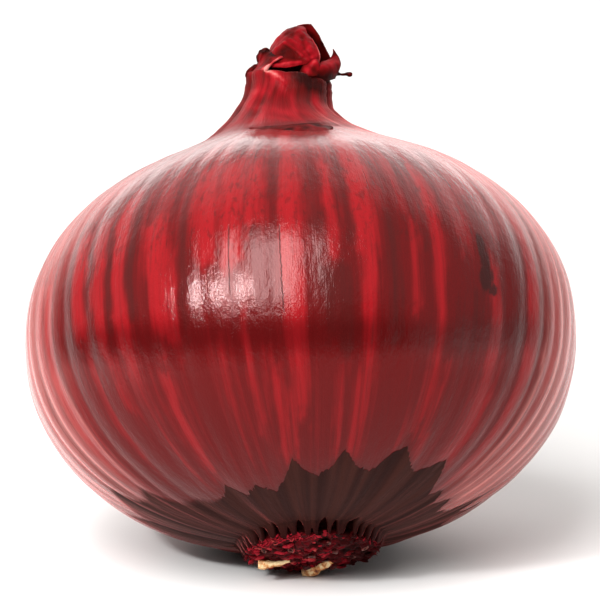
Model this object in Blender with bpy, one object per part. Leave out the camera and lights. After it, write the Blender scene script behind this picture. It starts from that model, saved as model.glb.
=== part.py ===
# A large red onion, leaning back on its belly and on the low edge of its root plate.
# Metres, +Z up. Both pieces are shaped about the onion's own axis, with the equator at
# height 0, and are leaned back and pressed flat where they rest. Round the axis, turn 0
# faces the front (-Y) and grows towards the right (+X).

import math
import random

import bmesh
import bpy
from mathutils import Matrix, Vector, noise

# Body of the bulb
EQUATOR_RADIUS = 0.0421
CROWN_HEIGHT = 0.0314
BASE_DEPTH = 0.0318
CROWN_FULLNESS = (2.12, 2.16)
BASE_FULLNESS = (2.07, 2.11)
LOWEST_LATITUDE = math.radians(-75)
SHOULDER_LATITUDE = math.radians(60)
SLOPE_STEP = math.radians(0.6)
BODY_RINGS = 27

# Ribs of the skin
RIB_COUNT = 36
RIB_SEED = 3
RIB_HEIGHT = 0.0004
RIB_STRENGTH = (0.7, 1.3)
RIB_UNEVENNESS = 0.28
RIB_MEAN = 0.55
RIB_FADE = (0.008, 0.020)
COLUMNS_PER_RIB = 3
RIBS_PER_PLEAT = 3
RIBS_PER_PUCKER = 2

# Neck: a flare from the shoulder, then a trunk of gathered dry leaf
FLARE_RINGS = 7
FLARE_REACH = 0.0086
TRUNK_FOOT = (0.0064, 0.0403)
TRUNK_STRAIGHT = 0.0066
NECK_DRIFT = 0.0006
DRIFT_GROWS = (0.0305, 0.0345)
DRIFT_ENDS = (0.0365, 0.0403)
PLEAT_DEPTH = 0.0005
PLEAT_MEAN = 0.6
PLEAT_FADE = (0.009, 0.017)
FOLD_TURN = math.radians(4)
FOLD_SPREAD = math.radians(24)
FOLD_HEIGHT = 0.0322
FOLD_WIDTH = 0.0012
FOLD_DEPTH = 0.0009

# Rings of the neck's top: height, towards the right, towards the back, half width, half depth
NECK_TOP = (
    (0.0416, 0.0001, 0.0000, 0.0062, 0.0060),
    (0.0427, 0.0003, 0.0000, 0.0062, 0.0060),
    (0.0430, 0.0009, 0.0001, 0.0060, 0.0058),
    (0.0432, 0.0017, 0.0001, 0.0053, 0.0056),
    (0.0444, 0.0018, -0.0002, 0.0053, 0.0051),
    (0.0460, 0.0020, 0.0000, 0.0045, 0.0041),
    (0.0477, 0.0021, 0.0002, 0.0037, 0.0029),
    (0.0492, 0.0025, 0.0006, 0.0024, 0.0018),
    (0.0501, 0.0032, 0.0008, 0.0010, 0.0008),
)
TIP = (0.0037, 0.0008, 0.0505)
HOOD_FOOT = 0.0432
HOOD_STARTS = (0.0430, 0.0442)
HOOD_PLEAT_SHARE = 0.4
TUCK_RING = 2
TUCK_DEPTH = 0.0013
TUCK_FRONT = (-0.7, 0.1)
RIM_WAVE = 0.0011
RIM_WAVE_PLACE = (1.3, 5.4)
CRUMPLE = 0.00144
CRUMPLE_SIZE = 0.0028
CRUMPLE_PLACE = (4.1, 0.7, 2.3)

# Dry leaf edges at the neck's top: points on the onion's own axes, with a half thickness
LEFT_LOW_CURL = (
    ((-0.0046, -0.0012, 0.0404), 0.0008),
    ((-0.0054, -0.0018, 0.0416), 0.0007),
    ((-0.0055, -0.0026, 0.0423), 0.0006),
    ((-0.0046, -0.0030, 0.0429), 0.0006),
)
LEFT_HIGH_CURL = (
    ((-0.0030, 0.0004, 0.0420), 0.0010),
    ((-0.0036, -0.0004, 0.0436), 0.0008),
    ((-0.0036, -0.0012, 0.0449), 0.0008),
    ((-0.0029, -0.0016, 0.0455), 0.0007),
    ((-0.0020, -0.0012, 0.0452), 0.0007),
)
HOOK = (
    ((0.0050, 0.0006, 0.0412), 0.0009),
    ((0.0070, 0.0007, 0.0421), 0.0006),
    ((0.0085, 0.0006, 0.0417), 0.0004),
    ((0.0093, 0.0005, 0.0419), 0.0004),
    ((0.0098, 0.0005, 0.0417), 0.0004),
)
CURL_SIDES = 6

# Horn at the right of the neck's top: points with a half width, on a blade of one thickness
HORN = (
    ((0.0044, -0.0016, 0.0410), 0.0020),
    ((0.0066, -0.0014, 0.0425), 0.0016),
    ((0.0076, -0.0010, 0.0440), 0.0009),
    ((0.0075, -0.0007, 0.0452), 0.0005),
    ((0.0072, -0.0006, 0.0462), 0.0003),
)
BLADE_THICKNESS = 0.0008

# Root plate and the hollow of the bulb that holds it
PLATE_RADIUS = 0.0102
PLATE_TOP = -0.0302
PLATE_EDGE = -0.0326
PLATE_BOTTOM = -0.0335
PLATE_SLOPE = 0.05
PLATE_SIDES = 40
PLATE_ROUGHNESS = 0.0009
PLATE_UNEVENNESS = 0.00018
PLATE_GRAIN = 0.0016
PLATE_GRAIN_PLACE = (0.0, 9.2, 0.0)

# Rings of the plate from its top to its underside: radius, height, share of the roughness
PLATE_OUTLINE = (
    (0.0044, PLATE_TOP, 0.0),
    (0.0088, PLATE_TOP, 0.0),
    (0.0093, PLATE_EDGE + 0.0011, 0.2),
    (PLATE_RADIUS, PLATE_EDGE, 1.0),
    (0.0096, PLATE_BOTTOM + 0.0001, 1.0),
    (0.0063, PLATE_BOTTOM, 0.6),
    (0.0031, PLATE_BOTTOM, 0.4),
)

SOCKET_FLOOR = -0.0298
SOCKET_RADIUS = 0.0094
SOCKET_INNER_RADIUS = 0.0047
HEM = (0.0104, -0.0313)
PUCKER_DEPTH = 0.0011
PUCKER_REACH = 0.0035

STUB_COUNT = 46
STUB_SPREAD = 0.0092
STUB_RADIUS = (0.0005, 0.0009)
STUB_LENGTH = (0.0003, 0.0009)
STUB_ROOT = 0.0012
STUB_TILT = 0.3
STUB_SPLAY = 0.35
STUB_TAPER = 0.8
STUB_SIDES = 5
STUB_SEED = 11
GOLDEN_TURN = math.pi * (3 - math.sqrt(5))

# Longer stubs at the back of the plate: from where they leave it to where they end, and radius
LONG_STUBS = (
    ((-0.0008, 0.0050, -0.0330), (-0.0052, 0.0062, -0.0337), 0.0008),
    ((0.0042, 0.0070, -0.0331), (0.0006, 0.0089, -0.0344), 0.0009),
    ((-0.0030, 0.0076, -0.0328), (-0.0034, 0.0090, -0.0343), 0.0007),
)

# Rest: how far the axis leans back, how far round to the left it leans, and the equator's middle
LEAN_BACK = math.radians(28.5)
LEAN_ROUND = math.radians(6.3)
MIDDLE = (0.0, 0.0, 0.0342)

# Finishes
SKIN_COLOUR = (0.30, 0.016, 0.022, 1.0)
SKIN_ROUGHNESS = 0.28
ROOT_COLOUR = (0.11, 0.022, 0.016, 1.0)
ROOT_ROUGHNESS = 0.85
SHARP_ANGLE = math.radians(50)


def lean_matrix():
    """From the onion's own upright frame to the frame of the surface it rests on."""
    round_left = Matrix.Rotation(LEAN_ROUND, 4, "Z")
    back = Matrix.Rotation(-LEAN_BACK, 4, "X")
    return Matrix.Translation(MIDDLE) @ round_left @ back @ round_left.inverted()


def around(turn, radius, height):
    return Vector((radius * math.sin(turn), -radius * math.cos(turn), height))


def superellipse(latitude):
    """Radius and height of the bare body at a latitude."""
    upper = latitude > 0
    wide, tall = CROWN_FULLNESS if upper else BASE_FULLNESS
    reach = CROWN_HEIGHT if upper else -BASE_DEPTH
    radius = EQUATOR_RADIUS * math.cos(latitude) ** (2 / wide)
    return Vector((radius, reach * abs(math.sin(latitude)) ** (2 / tall)))


def flare_points():
    """The concave flare from the shoulder up into the trunk, as one cubic curve."""
    start = superellipse(SHOULDER_LATITUDE)
    along = (start - superellipse(SHOULDER_LATITUDE - SLOPE_STEP)).normalized()
    end = Vector(TRUNK_FOOT)
    handle_a = start + along * FLARE_REACH
    handle_b = end - Vector((0, TRUNK_STRAIGHT))
    points = []
    for k in range(1, FLARE_RINGS + 1):
        u = k / FLARE_RINGS
        a = start * (1 - u) ** 3 + handle_a * (3 * u * (1 - u) ** 2)
        points.append(a + handle_b * (3 * u * u * (1 - u)) + end * u ** 3)
    return points


def skin_profile():
    """Points of the turned outline from the hem up to the trunk's foot, as (radius, height)."""
    step = (SHOULDER_LATITUDE - LOWEST_LATITUDE) / (BODY_RINGS - 1)
    body = [superellipse(LOWEST_LATITUDE + k * step) for k in range(BODY_RINGS)]
    return [Vector(HEM)] + body + flare_points()


def rib_columns():
    """Turn of each column of the skin, at uneven ribs, with how far across its rib it is."""
    draw = random.Random(RIB_SEED)
    widths = [1 + RIB_UNEVENNESS * draw.uniform(-1, 1) for _ in range(RIB_COUNT)]
    heights = [draw.uniform(*RIB_STRENGTH) for _ in range(RIB_COUNT)]
    scale = 2 * math.pi / sum(widths)
    columns = []
    start = math.pi
    for rib, width in enumerate(widths):
        for k in range(COLUMNS_PER_RIB):
            across = k / COLUMNS_PER_RIB
            columns.append((start + across * width * scale, rib, across, heights[rib]))
        start += width * scale
    return columns


def smooth_step(low, high, value):
    x = min(1.0, max(0.0, (value - low) / (high - low)))
    return x * x * (3 - 2 * x)


def skin_relief(point, column):
    """How far the skin stands out from the turned outline at a point of it."""
    radius, height = point
    turn, rib, across, rib_height = column
    ridge = math.sin(math.pi * across) - RIB_MEAN
    relief = RIB_HEIGHT * rib_height * ridge * smooth_step(*RIB_FADE, radius)
    if height > 0:
        relief += pleat_relief(rib, across) * (1 - smooth_step(*PLEAT_FADE, radius))
        off = math.remainder(turn - FOLD_TURN, 2 * math.pi) / FOLD_SPREAD
        rise = (height - FOLD_HEIGHT) / FOLD_WIDTH
        relief -= FOLD_DEPTH * math.exp(-off ** 4 - rise * rise)
    return relief


def pleat_relief(rib, across):
    """How far a pleat of the neck, which takes in several ribs, stands out."""
    share = (rib % RIBS_PER_PLEAT + across) / RIBS_PER_PLEAT
    return PLEAT_DEPTH * (abs(math.sin(math.pi * share)) - PLEAT_MEAN)


def pucker(point, column):
    """How far the skin is drawn up into the base between two teeth of its hem."""
    radius, height = point
    if height > 0:
        return 0.0
    _, rib, across, _ = column
    at_slit = rib % RIBS_PER_PUCKER == 0 and across == 0
    share = 1.0 if at_slit else 0.0
    return PUCKER_DEPTH * share * (1 - smooth_step(0, PUCKER_REACH, radius - HEM[0]))


def neck_shift(height):
    """The neck's flare stands a little to the left of the axis."""
    share = smooth_step(*DRIFT_GROWS, height) * (1 - smooth_step(*DRIFT_ENDS, height))
    return Vector((-NECK_DRIFT * share, 0, 0))


def body_rings(columns):
    """Rings of points of the skin from the hem to the trunk's foot."""
    outline = skin_profile()
    rings = []
    for k, point in enumerate(outline):
        before = outline[max(k - 1, 0)]
        after = outline[min(k + 1, len(outline) - 1)]
        slope = (after - before).normalized()
        out = Vector((slope.y, -slope.x))
        ring = []
        for column in columns:
            at = point + out * skin_relief(point, column)
            lift = pucker(point, column)
            ring.append(around(column[0], at.x, at.y + lift) + neck_shift(point.y))
        rings.append(ring)
    return rings


def neck_top_rings(columns):
    """Rings of the trunk's rim and of the crumpled hood that is folded over it."""
    rings = []
    for index, (height, right, back, half_width, half_depth) in enumerate(NECK_TOP):
        hood = smooth_step(*HOOD_STARTS, height)
        pleat_share = 1 - (1 - HOOD_PLEAT_SHARE) * hood
        tuck_depth = TUCK_DEPTH if index == TUCK_RING else 0.0
        waviness = RIM_WAVE * (1 - smooth_step(HOOD_FOOT, NECK_TOP[-1][0], height))
        ring = []
        for turn, rib, across, _ in columns:
            seat = Vector((half_width * math.sin(turn), -half_depth * math.cos(turn), height))
            rough = noise.noise(seat / CRUMPLE_SIZE + Vector(CRUMPLE_PLACE))
            out = pleat_relief(rib, across) * pleat_share + hood * CRUMPLE * rough
            out -= tuck_depth * smooth_step(*TUCK_FRONT, math.cos(turn))
            size = 1 + out / half_width
            wave = waviness * noise.noise(around(turn, *RIM_WAVE_PLACE))
            ring.append(Vector((right + seat.x * size, back + seat.y * size, height + wave)))
        rings.append(ring)
    return rings


def socket_rings(columns):
    """The plain hollow under the bulb, from its middle out to the hem."""
    inner = [around(column[0], SOCKET_INNER_RADIUS, SOCKET_FLOOR) for column in columns]
    outer = [around(column[0], SOCKET_RADIUS, SOCKET_FLOOR) for column in columns]
    return [inner, outer]


def mesh_from_rings(name, rings, first_pole, last_pole):
    """One closed mesh through the rings, with a point at each end."""
    shape = bmesh.new()
    loops = [[shape.verts.new(point) for point in ring] for ring in rings]
    count = len(loops[0])
    for lower, upper in zip(loops, loops[1:]):
        for k in range(count):
            n = (k + 1) % count
            shape.faces.new((lower[k], lower[n], upper[n], upper[k]))
    start = shape.verts.new(first_pole)
    end = shape.verts.new(last_pole)
    for k in range(count):
        n = (k + 1) % count
        shape.faces.new((start, loops[0][n], loops[0][k]))
        shape.faces.new((end, loops[-1][k], loops[-1][n]))
    return finished_mesh(name, shape)


def finished_mesh(name, shape):
    bmesh.ops.triangulate(shape, faces=shape.faces)
    bmesh.ops.recalc_face_normals(shape, faces=shape.faces)
    mesh = bpy.data.meshes.new(name)
    shape.to_mesh(mesh)
    shape.free()
    return mesh


def add_object(name, mesh, collection):
    item = bpy.data.objects.new(name, mesh)
    collection.objects.link(item)
    return item


def sections_mesh(name, sections):
    """One closed mesh through sections of equally many points, with flat ends."""
    shape = bmesh.new()
    loops = [[shape.verts.new(point) for point in section] for section in sections]
    count = len(loops[0])
    for lower, upper in zip(loops, loops[1:]):
        for k in range(count):
            n = (k + 1) % count
            shape.faces.new((lower[k], lower[n], upper[n], upper[k]))
    shape.faces.new(loops[0][::-1])
    shape.faces.new(loops[-1])
    return finished_mesh(name, shape)


def round_section(middle, along, radius, sides):
    side = along.cross(Vector((0, 1, 0)))
    if side.length < 0.3 * along.length:
        side = along.cross(Vector((1, 0, 0)))
    side.normalize()
    other = along.cross(side).normalized()
    section = []
    for k in range(sides):
        turn = 2 * math.pi * k / sides
        section.append(middle + (side * math.cos(turn) + other * math.sin(turn)) * radius)
    return section


def curl(name, stations, collection):
    """A rolled leaf edge: a bent tube of uneven thickness."""
    points = [Vector(point) for point, _ in stations]
    sections = []
    for k, (_, radius) in enumerate(stations):
        along = points[min(k + 1, len(points) - 1)] - points[max(k - 1, 0)]
        sections.append(round_section(points[k], along, radius, CURL_SIDES))
    return add_object(name, sections_mesh(name, sections), collection)


def horn(name, stations, collection):
    """A pointed corner of dry leaf: a bent blade that narrows to its tip."""
    points = [Vector(point) for point, _ in stations]
    sections = []
    for k, (_, half_width) in enumerate(stations):
        along = points[min(k + 1, len(points) - 1)] - points[max(k - 1, 0)]
        thick = along.cross(Vector((0, 1, 0))).normalized() * (BLADE_THICKNESS / 2)
        wide = thick.cross(along).normalized() * half_width
        corners = (wide + thick, wide - thick, -wide - thick, -wide + thick)
        sections.append([points[k] + corner for corner in corners])
    return add_object(name, sections_mesh(name, sections), collection)


def fuse(base, collection):
    """Joins everything in the collection to the base and removes it."""
    modifier = base.modifiers.new("fuse", "BOOLEAN")
    modifier.operation = "UNION"
    modifier.operand_type = "COLLECTION"
    modifier.collection = collection
    bpy.context.view_layer.update()
    graph = bpy.context.evaluated_depsgraph_get()
    fused = bpy.data.meshes.new_from_object(base.evaluated_get(graph))
    base.modifiers.clear()
    base.data = fused
    for item in list(collection.objects):
        bpy.data.objects.remove(item, do_unlink=True)
    bpy.data.collections.remove(collection)


def new_collection(name):
    collection = bpy.data.collections.new(name)
    bpy.context.scene.collection.children.link(collection)
    return collection


def bulb(root):
    columns = rib_columns()
    rings = socket_rings(columns) + body_rings(columns) + neck_top_rings(columns)
    mesh = mesh_from_rings("bulb", rings, Vector((0, 0, SOCKET_FLOOR)), Vector(TIP))
    item = add_object("bulb", mesh, root)
    leaves = new_collection("leaf_edges")
    curl("left_low_curl", LEFT_LOW_CURL, leaves)
    curl("left_high_curl", LEFT_HIGH_CURL, leaves)
    curl("hook", HOOK, leaves)
    horn("horn", HORN, leaves)
    fuse(item, leaves)
    return item


def plate_mesh():
    """The corky disc: a narrow part in the hollow, a ragged edge and a low dome below."""
    rings = []
    for radius, height, share in PLATE_OUTLINE:
        ring = []
        for k in range(PLATE_SIDES):
            turn = 2 * math.pi * k / PLATE_SIDES
            seat = around(turn, radius, height)
            rough = share * noise.noise(seat / PLATE_GRAIN + Vector(PLATE_GRAIN_PLACE))
            out = radius + PLATE_ROUGHNESS * rough
            ring.append(sloped(around(turn, out, height + PLATE_UNEVENNESS * rough)))
        rings.append(ring)
    return mesh_from_rings(
        "root_plate", rings, Vector((0, 0, PLATE_TOP)), Vector((0, 0, PLATE_BOTTOM))
    )


def sloped(point):
    """The plate's underside is lower at its back than at its front."""
    share = smooth_step(-PLATE_TOP, -PLATE_EDGE, -point.z)
    return point - Vector((0, 0, PLATE_SLOPE * share * point.y))


def root_stub(name, start, end, radius, collection):
    along = end - start
    sections = [
        round_section(start, along, radius, STUB_SIDES),
        round_section(end, along, radius * STUB_TAPER, STUB_SIDES),
    ]
    return add_object(name, sections_mesh(name, sections), collection)


def root_plate(root):
    item = add_object("root_plate", plate_mesh(), root)
    stubs = new_collection("stubs")
    draw = random.Random(STUB_SEED)
    for k in range(STUB_COUNT):
        distance = STUB_SPREAD * math.sqrt((k + 0.5) / STUB_COUNT)
        turn = k * GOLDEN_TURN
        tilt_right = draw.uniform(-STUB_TILT, STUB_TILT)
        tilt_back = draw.uniform(-STUB_TILT, STUB_TILT)
        splay = around(turn, STUB_SPLAY * distance / STUB_SPREAD, 0)
        along = (Vector((tilt_right, tilt_back, -1)) + splay).normalized()
        seat = sloped(around(turn, distance, PLATE_BOTTOM))
        radius = draw.uniform(*STUB_RADIUS)
        length = draw.uniform(*STUB_LENGTH)
        root_stub(f"stub_{k}", seat - along * STUB_ROOT, seat + along * length, radius, stubs)
    for k, (start, end, radius) in enumerate(LONG_STUBS):
        root_stub(f"long_stub_{k}", Vector(start), Vector(end), radius, stubs)
    fuse(item, stubs)
    return item


def press_flat(item, lean):
    """Lifts what would reach below the surface up to it, so that the piece rests on flats."""
    back = lean.inverted()
    for vertex in item.data.vertices:
        point = lean @ vertex.co
        if point.z < 0:
            point.z = 0
            vertex.co = back @ point


def material(name, colour, roughness):
    made = bpy.data.materials.new(name)
    made.use_nodes = True
    shader = made.node_tree.nodes["Principled BSDF"]
    shader.inputs["Base Color"].default_value = colour
    shader.inputs["Roughness"].default_value = roughness
    shader.inputs["Metallic"].default_value = 0.0
    return made


def clear_scene():
    for item in list(bpy.data.objects):
        bpy.data.objects.remove(item, do_unlink=True)


def main():
    clear_scene()
    root = bpy.context.scene.collection
    lean = lean_matrix()
    axis = add_object("onion_axis", None, root)
    axis.matrix_world = lean
    looks = {
        "bulb": material("onion_skin", SKIN_COLOUR, SKIN_ROUGHNESS),
        "root_plate": material("dry_root", ROOT_COLOUR, ROOT_ROUGHNESS),
    }
    for item in (bulb(root), root_plate(root)):
        press_flat(item, lean)
        item.parent = axis
        item.data.materials.append(looks[item.name])
        item.data.shade_smooth()
        item.data.set_sharp_from_angle(angle=SHARP_ANGLE)


main()
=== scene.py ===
# The looks of a large red onion that leans back on its belly: glossy striped skin, a pleated dry
# neck with a folded papery tip, and a crumbly root plate. Metres, +Z up, the front towards -Y.
# Shapes are made on the onion's own upright axis, then leaned back like the solids.
import math
import random

import bpy
import numpy as np
from mathutils import Matrix, Vector, noise


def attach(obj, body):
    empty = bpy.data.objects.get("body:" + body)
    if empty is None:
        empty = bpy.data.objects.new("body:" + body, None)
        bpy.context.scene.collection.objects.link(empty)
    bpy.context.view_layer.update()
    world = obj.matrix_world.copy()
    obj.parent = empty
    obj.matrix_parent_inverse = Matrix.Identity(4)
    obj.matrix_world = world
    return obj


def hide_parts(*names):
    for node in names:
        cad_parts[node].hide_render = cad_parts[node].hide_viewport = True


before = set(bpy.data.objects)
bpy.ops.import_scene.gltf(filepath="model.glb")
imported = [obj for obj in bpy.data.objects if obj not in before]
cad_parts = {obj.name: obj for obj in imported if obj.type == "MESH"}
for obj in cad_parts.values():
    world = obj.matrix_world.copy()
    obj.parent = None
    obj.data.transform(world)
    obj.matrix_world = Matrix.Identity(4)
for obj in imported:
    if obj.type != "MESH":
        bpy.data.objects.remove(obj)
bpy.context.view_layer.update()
print("frame loaded:", ", ".join(sorted(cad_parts)))

# how the onion lies
rest = {
    "leanBack": math.radians(28.5),
    "leanRound": math.radians(6.3),
    "middle": (0.0, 0.0, 0.0342),
}


def leanMatrix():
    roundLeft = Matrix.Rotation(rest["leanRound"], 4, "Z")
    back = Matrix.Rotation(-rest["leanBack"], 4, "X")
    return Matrix.Translation(rest["middle"]) @ roundLeft @ back @ roundLeft.inverted()


def leaned(points):
    # from the onion's own frame to the floor's, pressed flat where it touches
    lean = np.array(leanMatrix())
    placed = points @ lean[:3, :3].T + lean[:3, 3]
    placed[:, 2] = np.maximum(placed[:, 2], 0.0)
    return placed


def smoothStep(low, high, value):
    x = np.clip((value - low) / (high - low), 0.0, 1.0)
    return x * x * (3 - 2 * x)


def withinBand(value, edges):
    # 1 between the second and third edge, falling to 0 at the first and last
    return smoothStep(*edges[:2], value) * (1 - smoothStep(*edges[2:], value))


def noiseAt(points, size, shift=0.0, octaves=1):
    # smooth noise from about -1 to 1 at each point, with the given wavelength
    total = np.zeros(len(points))
    strength = 1.0
    for octave in range(octaves):
        scaled = points * (2 ** octave / size) + shift
        total += strength * np.array([noise.noise(p) for p in scaled])
        strength *= 0.5
    return total


def makeMesh(name, points, faces, lean=True):
    mesh = bpy.data.meshes.new(name)
    placed = leaned(points) if lean else points
    mesh.from_pydata(placed.tolist(), [], faces)
    mesh.validate()
    mesh.shade_smooth()
    return mesh


def addNumbers(mesh, name, values):
    layer = mesh.attributes.new(name, "FLOAT", "POINT")
    layer.data.foreach_set("value", np.asarray(values, np.float32))


def addPlaces(mesh, name, places):
    layer = mesh.attributes.new(name, "FLOAT_VECTOR", "POINT")
    layer.data.foreach_set("vector", np.asarray(places, np.float32).ravel())


def addPiece(name, mesh, finish, node):
    piece = bpy.data.objects.new(name, mesh)
    bpy.context.scene.collection.objects.link(piece)
    mesh.materials.append(finish)
    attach(piece, "root")
    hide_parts(node)
    print("made", name, len(mesh.polygons), "faces")
    return piece


def ringFaces(rings, columns):
    # quads between rings of equally many points, each ring closed on itself
    faces = []
    for k in range(rings - 1):
        lower = k * columns
        for n in range(columns):
            m = (n + 1) % columns
            faces.append((lower + n, lower + m, lower + columns + m, lower + columns + n))
    return faces


def gridFaces(rows, columns, start=0, flip=False):
    faces = []
    for k in range(rows - 1):
        for n in range(columns - 1):
            a = start + k * columns + n
            quad = (a, a + 1, a + columns + 1, a + columns)
            faces.append(quad[::-1] if flip else quad)
    return faces


# materials: small helpers that add and join nodes
def newFinish(name):
    finish = bpy.data.materials.new(name)
    finish.use_nodes = True
    tree = finish.node_tree
    return finish, tree, tree.nodes["Principled BSDF"]


def addNode(tree, kind, **settings):
    made = tree.nodes.new(kind)
    for key, value in settings.items():
        setattr(made, key, value)
    return made


def feed(tree, socket, value):
    # joins an output, or sets a plain number or colour
    if isinstance(value, bpy.types.NodeSocket):
        tree.links.new(value, socket)
    else:
        socket.default_value = value


def numberOf(tree, name):
    return addNode(tree, "ShaderNodeAttribute", attribute_name=name).outputs["Fac"]


def placeOf(tree, name):
    return addNode(tree, "ShaderNodeAttribute", attribute_name=name).outputs["Vector"]


def maths(tree, operation, first, second=0.0, third=None):
    made = addNode(tree, "ShaderNodeMath", operation=operation)
    feed(tree, made.inputs[0], first)
    feed(tree, made.inputs[1], second)
    if third is not None:
        feed(tree, made.inputs[2], third)
    return made.outputs[0]


def stepBetween(tree, value, low, high, outLow=0.0, outHigh=1.0):
    made = addNode(tree, "ShaderNodeMapRange", interpolation_type="SMOOTHSTEP")
    feed(tree, made.inputs["Value"], value)
    made.inputs["From Min"].default_value = low
    made.inputs["From Max"].default_value = high
    made.inputs["To Min"].default_value = outLow
    made.inputs["To Max"].default_value = outHigh
    return made.outputs["Result"]


def centred(tree, value, strength):
    # noise from 0 to 1, made to swing round zero
    return maths(tree, "MULTIPLY_ADD", value, strength, -strength / 2)


def grain(tree, place, stretch, detail=2.0, rough=0.5, twist=0.0):
    # noise stretched by a different amount along each axis
    fit = addNode(tree, "ShaderNodeMapping")
    feed(tree, fit.inputs["Vector"], place)
    fit.inputs["Scale"].default_value = stretch
    made = addNode(tree, "ShaderNodeTexNoise")
    feed(tree, made.inputs["Vector"], fit.outputs["Vector"])
    made.inputs["Scale"].default_value = 1.0
    made.inputs["Detail"].default_value = detail
    made.inputs["Roughness"].default_value = rough
    made.inputs["Distortion"].default_value = twist
    return made.outputs["Fac"]


def blendColours(tree, share, first, second):
    # the Mix node's colour inputs come after those of its other kinds
    made = addNode(tree, "ShaderNodeMix", data_type="RGBA")
    feed(tree, made.inputs[0], share)
    feed(tree, made.inputs[6], first)
    feed(tree, made.inputs[7], second)
    return made.outputs[2]


def bump(tree, height, distance, under=None):
    made = addNode(tree, "ShaderNodeBump")
    feed(tree, made.inputs["Height"], height)
    made.inputs["Distance"].default_value = distance
    if under is not None:
        feed(tree, made.inputs["Normal"], under)
    return made.outputs["Normal"]


# the bulb's skin
bulbShape = {
    "equatorRadius": 0.0421,
    "crownHeight": 0.0314,
    "baseDepth": 0.0318,
    "crownFullness": (2.12, 2.16),
    "baseFullness": (2.07, 2.11),
    "lowest": math.radians(-75),
    "shoulder": math.radians(60),
    # radius and height of the rings of the hem and of the neck's trunk
    "hem": ((0.0109, -0.0315), (0.0107, -0.0322), (0.0103, -0.0327)),
    "hemPlaces": (-81, -79.5, -77.5),
    "hemWall": 0.0003,
    "trunk": ((0.0062, 0.0409), (0.0062, 0.0414), (0.0062, 0.0418), (0.0061, 0.0421),
              (0.0060, 0.0424)),
    "baseRings": 26,
    "baseTop": math.radians(-58),
    "bodyRings": 100,
    "flareRings": 30,
    "flareReach": 0.0086,
    "trunkFoot": (0.0064, 0.0403),
    "trunkStraight": 0.0060,
    # the neck leans a little to the left low down, and swells on its right side higher up
    "neckDrift": 0.0007,
    "driftHeights": (0.0305, 0.0345, 0.0365, 0.0403),
    "neckBulge": 0.00070,
    "bulgeHeights": (0.0358, 0.0376),
    "bulgeSide": (0.1, 0.8),
}
ribs = {
    # grooves between the ribs in front, in degrees; behind they are drawn by chance
    "grooves": (-88, -80, -72.5, -65, -58, -50, -41.5, -32.5, -26, -20, -12.5, -4.5, 4, 12,
                21, 30, 39, 48, 55, 62, 67.5, 73, 80, 88),
    "behind": 25,
    "seed": 3,
    "unevenness": 0.35,
    "strength": (0.45, 1.25),
    "height": 0.00030,
    "roundness": 1.1,
    "mean": 0.55,
    # lower in front and on the crown, and none on the neck
    "flatFront": 0.45,
    "front": (0.45, 0.8),
    "lowCrown": 0.35,
    "crown": (0.006, 0.02),
    "fade": (0.010, 0.021),
    # round the root plate they give way to broad, uneven folds
    "baseFade": (-0.0290, -0.0215),
    "baseLoss": 0.6,
    "baseFold": 0.00042,
    "baseFoldSize": 0.20,
    "columnsEach": 10,
    "perPleat": 4,
    "pleatDepth": 0.00032,
    "pleatMean": 0.6,
    "pleatFade": (0.009, 0.017),
    "pleatTwist": 0.004,
}
# where the skin splits round the root plate: turn and half width in degrees, depth in metres
slits = {
    "front": ((-82, 2.2, 0.0014), (-71, 2.4, 0.0012), (-62, 3.0, 0.0017), (-50, 2.8, 0.0022),
              (-40, 3.6, 0.0030), (-28.5, 3.4, 0.0034), (-18, 2.2, 0.0017), (-8.5, 4.0, 0.0032),
              (1, 1.5, 0.0012), (10.5, 4.8, 0.0035), (20, 3.4, 0.0028), (34, 5.2, 0.0040),
              (43.5, 3.0, 0.0030), (52, 2.8, 0.0026), (60, 2.4, 0.0023), (70, 2.5, 0.0016),
              (81, 2.2, 0.0015)),
    "behind": 26,
    "behindFrom": 88,
    "behindReach": 184,
    "behindWidths": (1.2, 4.2),
    "behindDepths": (0.0008, 0.0034),
    "seed": 14,
    "sharpness": 0.6,
    "ragged": 0.0003,
}
# the crease where the neck rises from the front of the crown, with painted shade along it
crease = {"turn": 3, "spread": 32, "height": 0.0309, "width": 0.00035, "depth": 0.0004, "paintedShadeAndDark": 0.5}
# height of the neck's rim at each turn, in degrees and metres
neckRim = {
    "turns": (-180, -140, -100, -75, -50, -29, -23, -12, 1, 12, 27, 41, 54, 75, 95, 130, 180),
    "heights": (0.0432, 0.0434, 0.0430, 0.0426, 0.0424, 0.0419, 0.0418, 0.0416, 0.0414, 0.0413,
                0.0411, 0.0408, 0.0405, 0.0405, 0.0412, 0.0424, 0.0432),
    "level": 0.0425,
    "startsAt": 0.0350,
    # inside it: how far in and how far down each ring of the wall lies, then the floor
    "wallRings": ((0.97, -0.0001), (0.93, 0.0002), (0.90, 0.0012), (0.86, 0.0030)),
    "floorRings": (0.6, 0.3, 0.03),
    "floor": 0.0385,
}
# soft dents all over the skin, and on the neck dry wrinkles and slanting sharp folds, also
# painted into the neck's tone as shade
dents = {"size": 0.016, "height": 0.00014}
neckWrinkles = {
    "size": 0.0019,
    "height": 0.00014,
    "stretch": 0.16,
    "foldSize": 0.0030,
    "foldHeight": 0.00022,
    "foldSlant": 0.45,
    "foldStretch": 0.35,
    "foldShade": 0.22,
}
# a folded pale ridge that runs down the front of the neck from the torn corner
paleRidge = {
    "turns": (-29, -20, -11, -3, 3),
    "heights": (0.0419, 0.0414, 0.0407, 0.0399, 0.0392),
    "ends": (-33, -28, -1, 6),
    "width": 0.00042,
    "rise": 0.00030,
    "tones": (1.2, 0.7, 0.55, 0.4, 0.15),
    # where the rim above it is pale too
    "rimTurns": (-36, -29, -28, -18),
    "rimShare": 0.7,
}
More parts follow.
